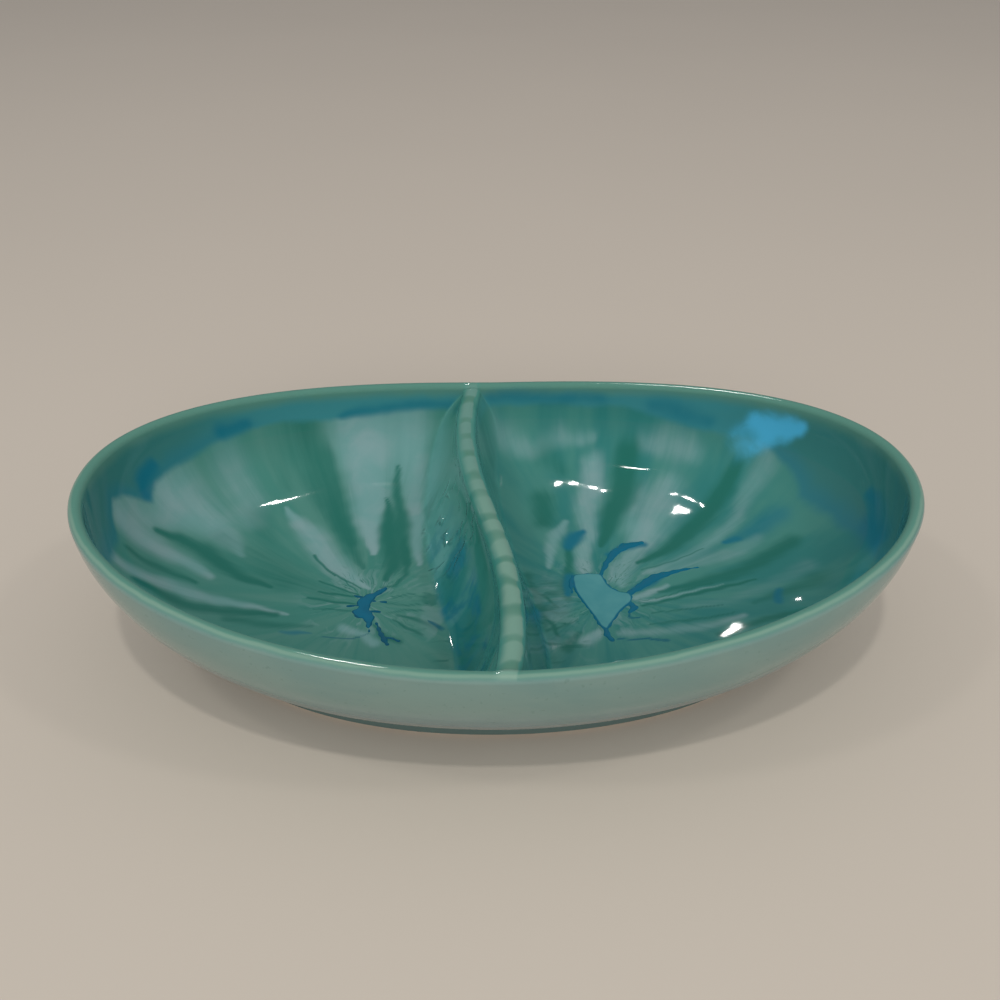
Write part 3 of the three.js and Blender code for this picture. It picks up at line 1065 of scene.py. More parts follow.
def glaze_skin_group() -> bpy.types.NodeTree:
    """Build the fired skin that every glaze has: a slow waviness, a fine orange peel and rare pinholes.

    Returns:
        A group that gives a roughness and a height.
    """
    inputs = {"Gloss": 0.07, "Peel": 1.0}
    outputs = {"Roughness": "NodeSocketFloat", "Height": "NodeSocketFloat"}
    web, given, result = new_tree("Glaze skin", "ShaderNodeTree", inputs, outputs)
    place = web.place()
    wave = web.noise(place, 45.0, 1.0)
    peel = web.noise(place, 420.0, 2.0)
    pores = web.node("ShaderNodeTexVoronoi", {"Vector": place, "Scale": 260.0}).outputs["Distance"]
    pinhole = web.times(web.step(pores, 0.09, 0.03), web.step(web.noise(place, 90.0), 0.6, 0.68))
    height = web.math("MULTIPLY_ADD", peel, 0.06, wave)
    height = web.math("SUBTRACT", height, web.times(pinhole, 0.12))
    smear = web.math("MULTIPLY_ADD", web.noise(place, 130.0, 3.0), 0.03, given.outputs["Gloss"])
    web.put(result.inputs["Roughness"], web.math("MULTIPLY_ADD", pinhole, 0.2, smear))
    web.put(result.inputs["Height"], web.times(height, given.outputs["Peel"]))
    return web.tree


def celadon_group() -> bpy.types.NodeTree:
    """Build the even celadon of the rim and the outside, painted paler and bluer low down as a reflection of
    the floor, and painted darker at the foot as shade.

    Returns:
        A group that gives a colour.
    """
    inputs = {
        "Thin": tint(118, 146, 139),
        "Thick": tint(109, 141, 136),
        # painted reflection of the pale floor, for the outside's lower part
        "Painted floor reflection": tint(127, 151, 154),
        # painted shade along the foot, where the dish meets the floor
        "Foot": tint(84, 104, 100),
        "Fleck": tint(92, 122, 114),
    }
    web, given, result = new_tree("Celadon tone", "ShaderNodeTree", inputs, {"Color": "NodeSocketColor"})
    place = web.place()
    cloud = web.noise(web.stretched(place, (1.0, 1.0, 2.2)), 26.0, 4.0, 0.6)
    tone = web.mix(web.step(cloud, 0.3, 0.7), given.outputs["Thin"], given.outputs["Thick"])
    low = web.math("MULTIPLY_ADD", cloud, 0.012, web.part(place, 2))
    # Painted reflection: paler and bluer low on the outside, where the floor reflects.
    tone = web.mix(web.step(low, 0.042, 0.02), tone, given.outputs["Painted floor reflection"])
    # Painted shade: darker along the foot, where the dish meets the floor.
    tone = web.mix(web.step(low, 0.017, 0.01), tone, given.outputs["Foot"])
    fleck = web.step(web.noise(place, 520.0, 1.0), 0.66, 0.78)
    tone = web.mix(web.times(fleck, 0.35), tone, given.outputs["Fleck"])
    web.put(result.inputs["Color"], tone)
    return web.tree


def feather_group() -> bpy.types.NodeTree:
    """Build the feathered edge that a run has where the glaze streamed.

    Returns:
        A group that turns a soft mask and a streak into a mask with a feathered edge.
    """
    inputs = {"Mask": 0.0, "Streak": 0.5, "Feather": 0.5, "Edge": 0.25}
    web, given, result = new_tree("Feathered run", "ShaderNodeTree", inputs, {"Mask": "NodeSocketFloat"})
    stir = web.times(web.math("SUBTRACT", given.outputs["Streak"], 0.5), given.outputs["Feather"])
    weight = web.times(given.outputs["Mask"], 4.0, web.rest(given.outputs["Mask"]))
    stirred = web.math("MULTIPLY_ADD", stir, web.math("MINIMUM", weight, 1.0), given.outputs["Mask"])
    low = web.math("SUBTRACT", 0.5, given.outputs["Edge"])
    high = web.math("ADD", 0.5, given.outputs["Edge"])
    web.put(result.inputs["Mask"], web.step(stirred, low, high))
    return web.tree


@dataclass(frozen=True)
class Celadon:
    """The even gloss glaze of the outside."""

    roughness: float = 0.09
    bump: float = 0.12

    def material(self, skin: bpy.types.NodeTree, tone: bpy.types.NodeTree) -> bpy.types.Material:
        """Make the material.

        Args:
            skin: The fired skin's group.
            tone: The celadon's group.

        Returns:
            The material.
        """
        web, shader, material = new_material("celadon", {"IOR": GLAZE_IOR})
        face = web.group(skin, {"Gloss": self.roughness})
        normal = web.bump(face.outputs["Height"], self.bump)
        web.dress(shader, web.group(tone, {}).outputs["Color"], face.outputs["Roughness"], normal)
        return material


@dataclass(frozen=True)
class RunningGlaze:
    """The streaked glaze of the wells, the dividing wall and the inner rim, as display colours."""

    left_green: Colour = tint(80, 137, 126)
    left_teal: Colour = tint(65, 131, 120)
    right_green: Colour = tint(70, 135, 126)
    right_teal: Colour = tint(49, 124, 120)
    pale: Colour = tint(116, 162, 161)
    milky: Colour = tint(135, 167, 169)
    deep: Colour = tint(32, 108, 96)
    band: Colour = tint(57, 121, 119)
    band_low: Colour = tint(49, 120, 129)
    # painted light: the band on the back wall, lighter where the front light falls
    band_back_painted_light: Colour = tint(61, 135, 141)
    band_lip: Colour = tint(87, 137, 123)
    # partly the glaze breaking paler on the lip, partly a painted highlight
    lip_break_and_highlight: Colour = tint(154, 177, 160)
    blue: Colour = tint(19, 110, 131)
    vein: Colour = tint(6, 95, 116)
    bright: Colour = tint(78, 177, 216)
    wall_back: Colour = tint(87, 154, 146)
    wall_front: Colour = tint(36, 122, 122)
    wall_streak: Colour = tint(110, 173, 169)
    wall_green: Colour = tint(65, 133, 116)
    crest: Colour = tint(116, 156, 141)
    crest_back: Colour = tint(103, 148, 137)
    crest_bar: Colour = tint(80, 131, 114)
    bar_pitch: float = 0.0142
    bar_start: float = 0.00815
    trickle_height: float = 0.0008
    roughness: float = 0.03
    bump: float = 0.1

    def streaks(self, web: Web, run: Any, turns: float, reach: float, bend: float) -> Any:
        """Draw streaks that stream towards the pool.

        Args:
            web: The hand over the material's tree.
            run: The run's vector: its direction from the pool and its distance.
            turns: How fine the streaks are across.
            reach: How fast they change along the run.
            bend: How much they wander.

        Returns:
            The streaks' value, from 0 to 1.
        """
        return web.noise(web.stretched(run, (turns, turns, reach)), 1.0, 3.0, bend)

    def material(
        self, skin: bpy.types.NodeTree, tone: bpy.types.NodeTree, feather: bpy.types.NodeTree
    ) -> bpy.types.Material:
        """Make the material.

        Args:
            skin: The fired skin's group.
            tone: The celadon's group.
            feather: The feathered edge's group.

        Returns:
            The material.
        """
        web, shader, material = new_material("running_glaze", {"IOR": GLAZE_IOR})
        run, over, ridge, band = web.mark("run", True), web.mark("over"), web.mark("ridge"), web.mark("band")
        place = web.place()
        broad = self.streaks(web, run, 5.0, 2.2, 0.3)
        fine = self.streaks(web, run, 22.0, 3.0, 0.6)
        cloud = web.noise(place, 55.0, 4.0, 0.5)

        def feathered(mask: str, streak: Any, amount: float, edge: float) -> Any:
            """Feather one of the masks along the runs."""
            inputs = {"Mask": web.mark(mask), "Streak": streak, "Feather": amount, "Edge": edge}
            return web.group(feather, inputs).outputs["Mask"]

        share = web.step(broad, 0.35, 0.65)
        left = web.mix(share, self.left_green, self.left_teal)
        right = web.mix(share, self.right_green, self.right_teal)
        colour = web.mix(web.step(ridge, -6.0, 6.0), left, right)
        milk = web.mix(web.step(cloud, 0.35, 0.7), self.pale, self.milky)
        colour = web.mix(web.times(feathered("pale", fine, 0.45, 0.5), 0.92), colour, milk)
        colour = self.dress_fan(web, colour, run, place)
        colour = web.mix(web.times(feathered("deep", fine, 0.5, 0.5), 0.93), colour, self.deep)
        colour = self.dress_toe(web, colour, ridge, place)
        colour = self.dress_band(web, colour, over, band, broad, cloud)
        colour = web.mix(feathered("blue", cloud, 0.5, 0.5), colour, self.blue)
        dapple = web.noise(place, 130.0, 4.0, 0.8)
        colour = web.mix(feathered("bright", dapple, 0.6, 0.5), colour, self.bright)
        colour = web.mix(feathered("vein", cloud, 0.5, 0.4), colour, self.vein)
        colour = self.dress_wall(web, colour, ridge, place, cloud)
        colour = self.dress_lip(web, colour, over, cloud, web.group(tone, {}).outputs["Color"])
        face = web.group(skin, {"Gloss": self.roughness})
        trickles = web.bump(self.trickles(web, ridge, place), 1.0, self.trickle_height)
        normal = web.bump(face.outputs["Height"], self.bump, Normal=trickles)
        web.dress(shader, colour, face.outputs["Roughness"], normal)
        return material

    def trickles(self, web: Web, ridge: Any, place: Any) -> Any:
        """Raise thick trickles that run down the dividing wall's left flank.

        Args:
            web: The hand over the material's tree.
            ridge: Distance from the crest line.
            place: The object coordinates.

        Returns:
            The trickles' height, from 0 to 1.
        """
        along = web.part(place, 1)
        lines = web.noise(web.stretched(place, (90.0, 150.0, 110.0)), 1.0, 1.0, 0.6)
        shown = web.times(web.step(along, 0.046, 0.034), web.step(along, -0.012, 0.002))
        flank = web.times(web.step(ridge, -3.5, -6.0), web.step(web.mark("flank"), -3.0, 0.5))
        return web.times(web.step(lines, 0.5, 0.72), shown, flank)

    def dress_band(self, web: Web, colour: Any, over: Any, band: Any, broad: Any, cloud: Any) -> Any:
        """Lay the dark band under the rim, greener at the lip, bluer along its lower edge and painted lighter
        on the back wall, where the front light falls on it.

        Args:
            web: The hand over the material's tree.
            colour: The colour so far.
            over: Distance over the rim from its top.
            band: Distance past the band's lower edge, negative in the band.
            broad: Broad streaks.
            cloud: A soft noise.

        Returns:
            The colour with the band.
        """
        stir = web.stir(band, cloud, 5.0)
        edge = web.stir(stir, broad, 4.0)
        back = web.step(web.part(web.place(), 1), 0.045, 0.075)
        tone = web.mix(web.step(edge, -10.0, -1.0), self.band, self.band_low)
        # Painted light: the band is lighter on the back wall, which faces the front light.
        tone = web.mix(back, tone, self.band_back_painted_light)
        lip = web.stir(over, cloud, 4.0)
        tone = web.mix(web.step(lip, 9.0, 2.5), tone, self.band_lip)
        return web.mix(web.step(edge, 1.8, -2.2), colour, tone)

    def dress_lip(self, web: Web, colour: Any, over: Any, cloud: Any, celadon: Any) -> Any:
        """Let the outside's celadon reach the rim's top, with a pale line along it that is partly the glaze
        breaking paler and partly a painted highlight.

        Args:
            web: The hand over the material's tree.
            colour: The colour so far.
            over: Distance over the rim from its top.
            cloud: A soft noise.
            celadon: The outside's colour.

        Returns:
            The colour with the lip.
        """
        lip = web.stir(over, cloud, 1.6)
        colour = web.mix(web.step(lip, -1.0, -3.4), colour, celadon)
        # Pale line along the rim's top: partly the glaze breaking paler, partly a painted highlight.
        line = web.step(web.math("ABSOLUTE", web.math("ADD", lip, 1.2)), 1.1, 0.1)
        return web.mix(web.times(line, 0.35), colour, self.lip_break_and_highlight)

    def dress_fan(self, web: Web, colour: Any, run: Any, place: Any) -> Any:
        """Comb dark and pale streaks into the glaze round the pool, thickest close to it.

        Args:
            web: The hand over the material's tree.
            colour: The colour so far.
            run: The run's vector.
            place: The object coordinates.

        Returns:
            The colour with the fan of streaks.
        """
        away = web.part(run, 2)
        waver = {"Vector": place, "Scale": 75.0, "Detail": 2.0}
        drift = web.node("ShaderNodeTexNoise", waver).outputs["Color"]
        half = (0.5, 0.5, 0.5)
        bent = web.node("ShaderNodeVectorMath", {0: drift, 1: half}, operation="SUBTRACT").outputs[0]
        drawn = {0: bent, 1: half, 2: run}
        bent = web.node("ShaderNodeVectorMath", drawn, operation="MULTIPLY_ADD").outputs[0]
        fingers = self.streaks(web, bent, 5.5, 5.0, 0.5)
        hairs = self.streaks(web, bent, 15.0, 9.0, 1.0)
        patchy = web.step(web.noise(place, 48.0, 2.0), 0.4, 0.62)
        near = web.step(away, 0.34, 0.1)
        light = web.times(web.step(fingers, 0.5, 0.66), near, 0.4)
        colour = web.mix(light, colour, self.milky)
        dark = web.times(web.step(hairs, 0.55, 0.66), near, patchy, 0.7)
        return web.mix(dark, colour, self.deep)

    def dress_toe(self, web: Web, colour: Any, ridge: Any, place: Any) -> Any:
        """Break the glaze into pale patches and dark branching lines along the dividing wall's front toe.

        Args:
            web: The hand over the material's tree.
            colour: The colour so far.
            ridge: Distance from the crest line.
            place: The object coordinates.

        Returns:
            The colour with the toe.
        """
        parts = web.node("ShaderNodeSeparateXYZ", {0: place})
        beside = web.step(web.math("ABSOLUTE", ridge), 34.0, 24.0)
        in_front = web.step(parts.outputs[1], 0.012, -0.004)
        low = web.step(parts.outputs[2], 0.03, 0.02)
        near = web.times(beside, in_front, low)
        patches = web.step(web.noise(place, 60.0, 3.0, 0.6), 0.48, 0.64)
        colour = web.mix(web.times(patches, near, 0.3), colour, self.milky)
        strokes = web.noise(web.stretched(place, (60.0, 140.0, 60.0)), 1.0, 3.0, 0.8)
        lines = web.times(web.step(strokes, 0.54, 0.66), near, 0.6)
        return web.mix(lines, colour, self.deep)

    def dress_wall(self, web: Web, colour: Any, ridge: Any, place: Any, cloud: Any) -> Any:
        """Lay the streaked flanks and the pale barred crest over the runs.

        Args:
            web: The hand over the material's tree.
            colour: The colour so far.
            ridge: Distance from the crest line.
            place: The object coordinates.
            cloud: A soft noise.

        Returns:
            The colour with the dividing wall dressed.
        """
        along = web.part(place, 1)
        front = web.step(along, 0.05, -0.02)
        flow = web.noise(web.stretched(place, (38.0, 38.0, 15.0)), 1.0, 3.0, 0.5)
        flank, reach = web.mark("flank"), web.math("ABSOLUTE", ridge)
        cloth = web.mix(front, self.wall_back, self.wall_front)
        low = web.times(web.step(flank, 14.0, 3.0), web.rest(front))
        light = web.math("MULTIPLY_ADD", web.step(flow, 0.48, 0.66), 0.45, web.times(low, 0.3))
        cloth = web.mix(light, cloth, self.wall_streak)
        cloth = web.mix(web.times(web.step(reach, 15.0, 5.0), 0.6), cloth, self.wall_green)
        cloth = web.mix(web.times(web.step(flow, 0.46, 0.32), 0.5), cloth, self.deep)
        inky = web.times(web.step(cloud, 0.45, 0.6), front, 0.85)
        cloth = web.mix(web.times(inky, web.step(reach, 7.0, 10.0)), cloth, self.blue)
        edge = web.stir(flank, cloud, 5.0)
        thin = web.math("MULTIPLY_ADD", web.step(ridge, 2.0, 6.0), -0.5, 1.0)
        colour = web.mix(web.times(web.step(edge, -2.0, 3.0), thin), colour, cloth)
        shift = web.math("ADD", along, self.bar_start)
        sway = web.stir(shift, web.noise(place, 48.0, 2.0), 0.018)
        bars = web.math("SINE", web.times(sway, 2.0 * math.pi / self.bar_pitch))
        top = web.mix(front, self.crest_back, self.crest)
        patchy = web.math("MULTIPLY_ADD", web.step(web.noise(place, 38.0, 2.0), 0.35, 0.65), 0.55, 0.4)
        bars = web.times(web.step(bars, -0.1, 1.0), patchy)
        top = web.mix(bars, top, self.crest_bar)
        narrow = web.math("MULTIPLY_ADD", web.rest(front), 0.3, 1.18)
        stir = web.stir(web.times(ridge, narrow), cloud, 3.5)
        bead = web.times(bars, 0.9)
        right = web.step(web.math("ADD", stir, bead), 4.4, 3.4)
        left = web.step(web.math("SUBTRACT", stir, bead), -5.6, -1.4)
        return web.mix(web.times(left, right, web.step(flank, -4.0, -1.0)), colour, top)


@dataclass(frozen=True)
class PooledGlaze:
    """The glassy glaze that gathered on a well's floor, darker along its shore."""

    name: str
    middle: Colour
    shallow: Colour
    shore: Colour
    shore_width: float
    roughness: float = 0.03
    peel: float = 0.4
    bump: float = 0.1

    def material(self, skin: bpy.types.NodeTree) -> bpy.types.Material:
        """Make the material.

        Args:
            skin: The fired skin's group.

        Returns:
            The material.
        """
        glass = {"IOR": GLAZE_IOR, "Coat Weight": 0.5, "Coat Roughness": 0.02}
        web, shader, material = new_material(self.name, glass)
        gap = web.mark("shore")
        cloud = web.noise(web.place(), 90.0, 3.0, 0.4)
        water = web.mix(web.step(cloud, 0.3, 0.7), self.middle, self.shallow)
        edge = web.stir(gap, cloud, 0.8)
        colour = web.mix(web.step(edge, self.shore_width, 0.4 * self.shore_width), water, self.shore)
        face = web.group(skin, {"Gloss": self.roughness, "Peel": self.peel})
        web.dress(shader, colour, face.outputs["Roughness"], web.bump(face.outputs["Height"], self.bump))
        return material


@dataclass(frozen=True)
class BareClay:
    """The fired body where no glaze covers it: buff, matt and faintly gritty."""

    buff: Colour = tint(205, 188, 160)
    toasted: Colour = tint(182, 158, 126)
    grit: Colour = tint(132, 108, 84)

    def material(self) -> bpy.types.Material:
        """Make the material."""
        web, shader, material = new_material("bare_clay", {})
        place = web.place()
        cloud = web.noise(place, 30.0, 5.0, 0.4)
        colour = web.mix(web.step(cloud, 0.3, 0.7), self.buff, self.toasted)
        grit = web.noise(place, 900.0, 2.0)
        colour = web.mix(web.step(grit, 0.66, 0.76), colour, self.grit)
        roughness = web.math("MULTIPLY_ADD", cloud, 0.2, 0.72)
        web.dress(shader, colour, roughness, web.bump(grit, 0.35, 0.3 * MM))
        return material


def grown(
    name: str, tree: bpy.types.NodeTree, sizes: Mapping[str, Any], thickness: float = 0.0
) -> bpy.types.Object:
    """Run a geometry tree and keep what it makes as a plain mesh.

    Args:
        name: Name of the piece.
        tree: The geometry tree.
        sizes: Values for the tree's named inputs.
        thickness: Thickness to give an open face, in metres.

    Returns:
        The piece.
    """
    seed = add_object(name + "_seed", bpy.data.meshes.new(name + "_seed"))
    form = seed.modifiers.new("form", "NODES")
    form.node_group = tree
    for item in tree.interface.items_tree:
        if item.in_out == "INPUT" and item.name in sizes:
            form[item.identifier] = sizes[item.name]
    if thickness:
        coat = seed.modifiers.new("coat", "SOLIDIFY")
        coat.thickness, coat.offset, coat.use_even_offset = thickness, -1.0, True
    seen = seed.evaluated_get(bpy.context.evaluated_depsgraph_get())
    mesh = bpy.data.meshes.new_from_object(seen)
    mesh.name = name
    bpy.data.objects.remove(seed)
    mesh.set_sharp_from_angle(angle=SHARP_ANGLE)
    return add_object(name, mesh)


def squared_circle(web: Web, turn: Any, power: Any) -> tuple[Any, Any]:
    """Walk a circle that is squared a little, as an oval's or a worn ring's outline is.

    Args:
        web: The hand over the tree.
        turn: The angle of the walk.
        power: 2 for a circle, and more for a squarer one.

    Returns:
        The two places across, from -1 to 1.
    """
    waves = [web.math(kind, turn) for kind in ("COSINE", "SINE")]
    bend = web.math("DIVIDE", 2.0, power)
    sizes = [web.math("POWER", web.math("ABSOLUTE", wave), bend) for wave in waves]
    across, along = (web.times(web.math("SIGN", wave), size) for wave, size in zip(waves, sizes))
    return across, along


def oval_tree(
    name: str, sizes: Mapping[str, Any]
) -> tuple[Web, bpy.types.Node, dict[str, Any], bpy.types.Node]:
    """Start a geometry tree whose grid goes round the dish's oval.

    Args:
        name: Name of the tree.
        sizes: Its inputs by name, with their values. Around, Across, Oval power and Finish are among them.

    Returns:
        A hand over the tree, its output node, its values by name and the grid's node. The values hold the
        inputs, the oval's unit X and Y, and the share across the grid.
    """
    made = {"Geometry": "NodeSocketGeometry"}
    web, given, result = new_tree(name, "GeometryNodeTree", sizes, made)
    values: dict[str, Any] = {key: given.outputs[key] for key in sizes}
    size = {"Size X": 1.0, "Size Y": 1.0, "Vertices X": values["Around"], "Vertices Y": values["Across"]}
    grid = web.node("GeometryNodeMeshGrid", size)
    at = web.node("ShaderNodeSeparateXYZ", {0: web.node("GeometryNodeInputPosition").outputs[0]})
    turn = web.times(at.outputs[0], 2.0 * math.pi)
    values["x"], values["y"] = squared_circle(web, turn, values["Oval power"])
    values["across"] = web.math("ADD", at.outputs[1], 0.5)
    return web, result, values, grid


def finish_tree(web: Web, result: bpy.types.Node, mesh: Any, finish: Any) -> bpy.types.NodeTree:
    """Close a geometry tree: merge its seams, smooth it, realize it and give it its finish.

    Args:
        web: The hand over the tree.
        result: Its output node.
        mesh: The mesh so far.
        finish: The socket that holds the material.

    Returns:
        The tree.
    """
    merged = web.node("GeometryNodeMergeByDistance", {"Geometry": mesh, "Distance": 1e-6}).outputs[0]
    smooth = web.node("GeometryNodeSetShadeSmooth", {0: merged}).outputs[0]
    real = web.node("GeometryNodeRealizeInstances", {0: smooth}).outputs[0]
    dressed = web.node("GeometryNodeSetMaterial", {"Geometry": real, "Material": finish}).outputs[0]
    web.put(result.inputs[0], dressed)
    return web.tree


@dataclass
class OuterCoat:
    """The glaze over the foot ring's side and the bowl's outside, up to the rim."""

    bowl: BowlForm
    foot_length: float
    foot_width: float
    foot_height: float
    foot_bare: float = 1.5
    foot_inset: float = 1.0
    bulge_out: float = 0.95
    bulge_up: float = 0.48
    foot_share: float = 0.08
    ledge_steepness: float = 60.0
    corner_rounds: int = 12
    waviness: float = 0.35
    thickness: float = 0.4
    around: int = 481
    across: int = 64

    def tree(self, sizes: Mapping[str, Any]) -> bpy.types.NodeTree:
        """Build the coat's geometry tree.

        Args:
            sizes: Its inputs by name.

        Returns:
            The tree.
        """
        web, result, v, grid = oval_tree("Outer coat", sizes)
        over = web.math("SUBTRACT", v["across"], v["Foot share"])
        rise = web.math("DIVIDE", over, web.rest(v["Foot share"]))
        rise = web.math("MINIMUM", web.math("MAXIMUM", rise, 0.0), 1.0)
        foot = web.math("MINIMUM", web.math("DIVIDE", v["across"], v["Foot share"]), 1.0)
        pull = web.times(rise, 2.0, web.rest(rise))
        square = web.times(rise, rise)
        out = web.math("MULTIPLY_ADD", pull, v["Bulge out"], square)
        up = web.math("MULTIPLY_ADD", pull, v["Bulge up"], square)
        ledge = web.math("MINIMUM", web.times(rise, self.ledge_steepness), 1.0)
        ledge = web.times(ledge, v["Foot inset"])
        place = []
        for axis, base, rim in (("x", "Base length", "Rim length"), ("y", "Base width", "Rim width")):
            foot_side = web.math("ADD", v[base], ledge)
            reach = web.math("MULTIPLY_ADD", web.math("SUBTRACT", v[rim], foot_side), out, foot_side)
            place.append(web.times(reach, v[axis]))
        lift = web.math("POWER", web.math("ABSOLUTE", v["x"]), v["Lift power"])
        top = web.math("MULTIPLY_ADD", v["End lift"], lift, v["Rim height"])
        side = web.math("SUBTRACT", v["Base height"], v["Lowest"])
        step = web.math("MULTIPLY_ADD", side, foot, v["Lowest"])
        height = web.math("MULTIPLY_ADD", web.math("SUBTRACT", top, v["Base height"]), up, step)
        moved = {"Geometry": grid.outputs[0], "Position": web.vector(*place, height)}
        shaped = web.node("GeometryNodeSetPosition", moved)
        corner = web.step(web.math("ABSOLUTE", over), 0.07, 0.03)
        return self.soften(web, result, shaped.outputs[0], corner, v)

    def soften(
        self, web: Web, result: Any, mesh: Any, corner: Any, v: Mapping[str, Any]
    ) -> bpy.types.NodeTree:
        """Fill the corner over the foot as glaze does, and let the wall wave a little.

        Args:
            web: The hand over the tree.
            result: The tree's output node.
            mesh: The mesh so far.
            corner: How near a place is to the corner.
            v: The tree's values.

        Returns:
            The tree.
        """
        blur = web.node("GeometryNodeBlurAttribute", data_type="FLOAT_VECTOR")
        shown = {socket.name: socket for socket in blur.inputs if socket.enabled}
        web.put(shown["Value"], web.node("GeometryNodeInputPosition").outputs[0])
        web.put(shown["Iterations"], self.corner_rounds)
        web.put(shown["Weight"], corner)
        filled = next(socket for socket in blur.outputs if socket.enabled)
        eased = web.node("GeometryNodeSetPosition", {"Geometry": mesh, "Position": filled}).outputs[0]
        stir = web.noise(web.node("GeometryNodeInputPosition").outputs[0], 22.0, 1.0)
        depth = web.times(web.math("SUBTRACT", stir, 0.62), v["Waviness"])
        normal = web.node("GeometryNodeInputNormal").outputs[0]
        push = web.node("ShaderNodeVectorMath", {0: normal, 3: depth}, operation="SCALE").outputs[0]
        waved = web.node("GeometryNodeSetPosition", {"Geometry": eased, "Offset": push}).outputs[0]
        return finish_tree(web, result, waved, v["Finish"])

    def build(self, material: bpy.types.Material) -> bpy.types.Object:
        """Make the coat.

        Args:
            material: Its finish.

        Returns:
            The piece.
        """
        coat = self.bowl.coat
        sizes = {
            "Around": self.around,
            "Across": self.across,
            "Oval power": self.bowl.oval_power,
            "Finish": material,
            "Base length": (self.foot_length / 2.0 + coat) * MM,
            "Base width": (self.foot_width / 2.0 + coat) * MM,
            "Rim length": (self.bowl.length / 2.0 + coat) * MM,
            "Rim width": (self.bowl.width / 2.0 + coat) * MM,
            "Lowest": self.foot_bare * MM,
            "Base height": (self.foot_height - coat) * MM,
            "Rim height": (self.bowl.rim_height - self.bowl.bead) * MM,
            "End lift": (self.bowl.top - self.bowl.rim_height) * MM,
            "Lift power": self.bowl.lift_power,
            "Bulge out": self.bulge_out,
            "Bulge up": self.bulge_up,
            "Foot share": self.foot_share,
            "Foot inset": self.foot_inset * MM,
            "Waviness": self.waviness * MM,
        }
        return grown("outer_coat", self.tree(sizes), sizes, self.thickness * MM)


@dataclass
class FootRing:
    """The bare ring that the dish stands on, with worn round edges."""

    length: float
    width: float
    height: float
    bowl: BowlForm
    band: float = 7.0
    section_power: float = 4.5
    around: int = 289
    across: int = 49

    def build(self, material: bpy.types.Material) -> bpy.types.Object:
        """Make the ring.

        Args:
            material: Its finish.

        Returns:
            The piece.
        """
        sizes = {
            "Around": self.around,
            "Across": self.across,
            "Oval power": self.bowl.oval_power,
            "Finish": material,
            "Half length": self.length / 2.0 * MM,
            "Half width": self.width / 2.0 * MM,
            "Half band": self.band / 2.0 * MM,
            "Half height": self.height / 2.0 * MM,
            "Section power": self.section_power,
        }
        web, result, v, grid = oval_tree("Foot ring", sizes)
        turn = web.times(v["across"], -2.0 * math.pi)
        out, up = squared_circle(web, turn, v["Section power"])
        inset = web.times(v["Half band"], web.math("SUBTRACT", out, 1.0))
        x = web.times(v["x"], web.math("ADD", v["Half length"], inset))
        y = web.times(v["y"], web.math("ADD", v["Half width"], inset))
        z = web.times(v["Half height"], web.math("ADD", up, 1.0))
        moved = {"Geometry": grid.outputs[0], "Position": web.vector(x, y, z)}
        ring = web.node("GeometryNodeSetPosition", moved)
        return grown("foot_ring_bare", finish_tree(web, result, ring.outputs[0], v["Finish"]), sizes)


@dataclass
class ClayBody:
    """The bowl's cast body, which shows only under the dish."""

    bowl: BowlForm
    outer: OuterCoat
    around: int = 160
    inside_steps: int = 40
    bead_steps: int = 8
    outside_steps: int = 24

    def build(self, material: bpy.types.Material) -> bpy.types.Object:
        """Make the body as a skin from the middle of the floor over the rim to the middle of the base.

        Args:
            material: Its finish.

        Returns:
            The piece.
        """
        bowl, outer = self.bowl, self.outer
        turn = 2.0 * math.pi * np.arange(self.around) / self.around
        top = bowl.rim_at(turn) - bowl.bead
        inner = np.stack(bowl.oval(turn, bowl.wall))
        shares = (np.arange(self.inside_steps) + 1.0) / self.inside_steps
        outs, ups = (np.interp(shares, np.linspace(0.0, 1.0, len(line)), line) for line in bowl.section)
        depth = top - bowl.floor
        rows = [np.stack([*(inner * out), bowl.floor + up * depth], -1) for out, up in zip(outs, ups)]
        for angle in np.linspace(math.pi, 0.0, self.bead_steps + 1)[1:-1]:
            x, y = bowl.oval(turn, bowl.bead * (1.0 - math.cos(angle)))
            rows.append(np.stack([x, y, top + bowl.bead * math.sin(angle)], -1))
        base_x, base_y = bowl.oval(turn, (bowl.length - outer.foot_length) / 2.0 - outer.foot_inset)
        base_y = base_y * (outer.foot_width / 2.0 + outer.foot_inset) / np.abs(base_y).max()
        rim = np.stack(bowl.oval(turn, 0.0))
        base = np.stack([base_x, base_y])
        for rise in np.linspace(1.0, 0.0, self.outside_steps):
            pull, square = 2.0 * rise * (1.0 - rise), rise * rise
            plan = base + (rim - base) * (pull * outer.bulge_out + square)
            z = outer.foot_height + (top - outer.foot_height) * (pull * outer.bulge_up + square)
            rows.append(np.stack([*plan, z], -1))
        grid = np.array(rows)
        ends = np.array([[0.0, 0.0, bowl.floor], [0.0, 0.0, outer.foot_height]])
        quads = grid_quads(len(rows), self.around, True)[:, ::-1]
        step = np.arange(self.around)
        last, middle = (len(rows) - 1) * self.around, len(rows) * self.around
        floor = np.stack([np.full(self.around, middle), step, (step + 1) % self.around], -1)
        under = np.stack([np.full(self.around, middle + 1), last + (step + 1) % self.around, last + step], -1)
        mesh = bpy.data.meshes.new("clay_body")
        points = np.concatenate([grid.reshape(-1, 3), ends]) * MM
        mesh.from_pydata(points.tolist(), [], quads.tolist() + floor.tolist() + under.tolist())
        mesh.shade_smooth()
        mesh.set_sharp_from_angle(angle=SHARP_ANGLE)
        mesh.materials.append(material)
        return add_object("clay_body", mesh)


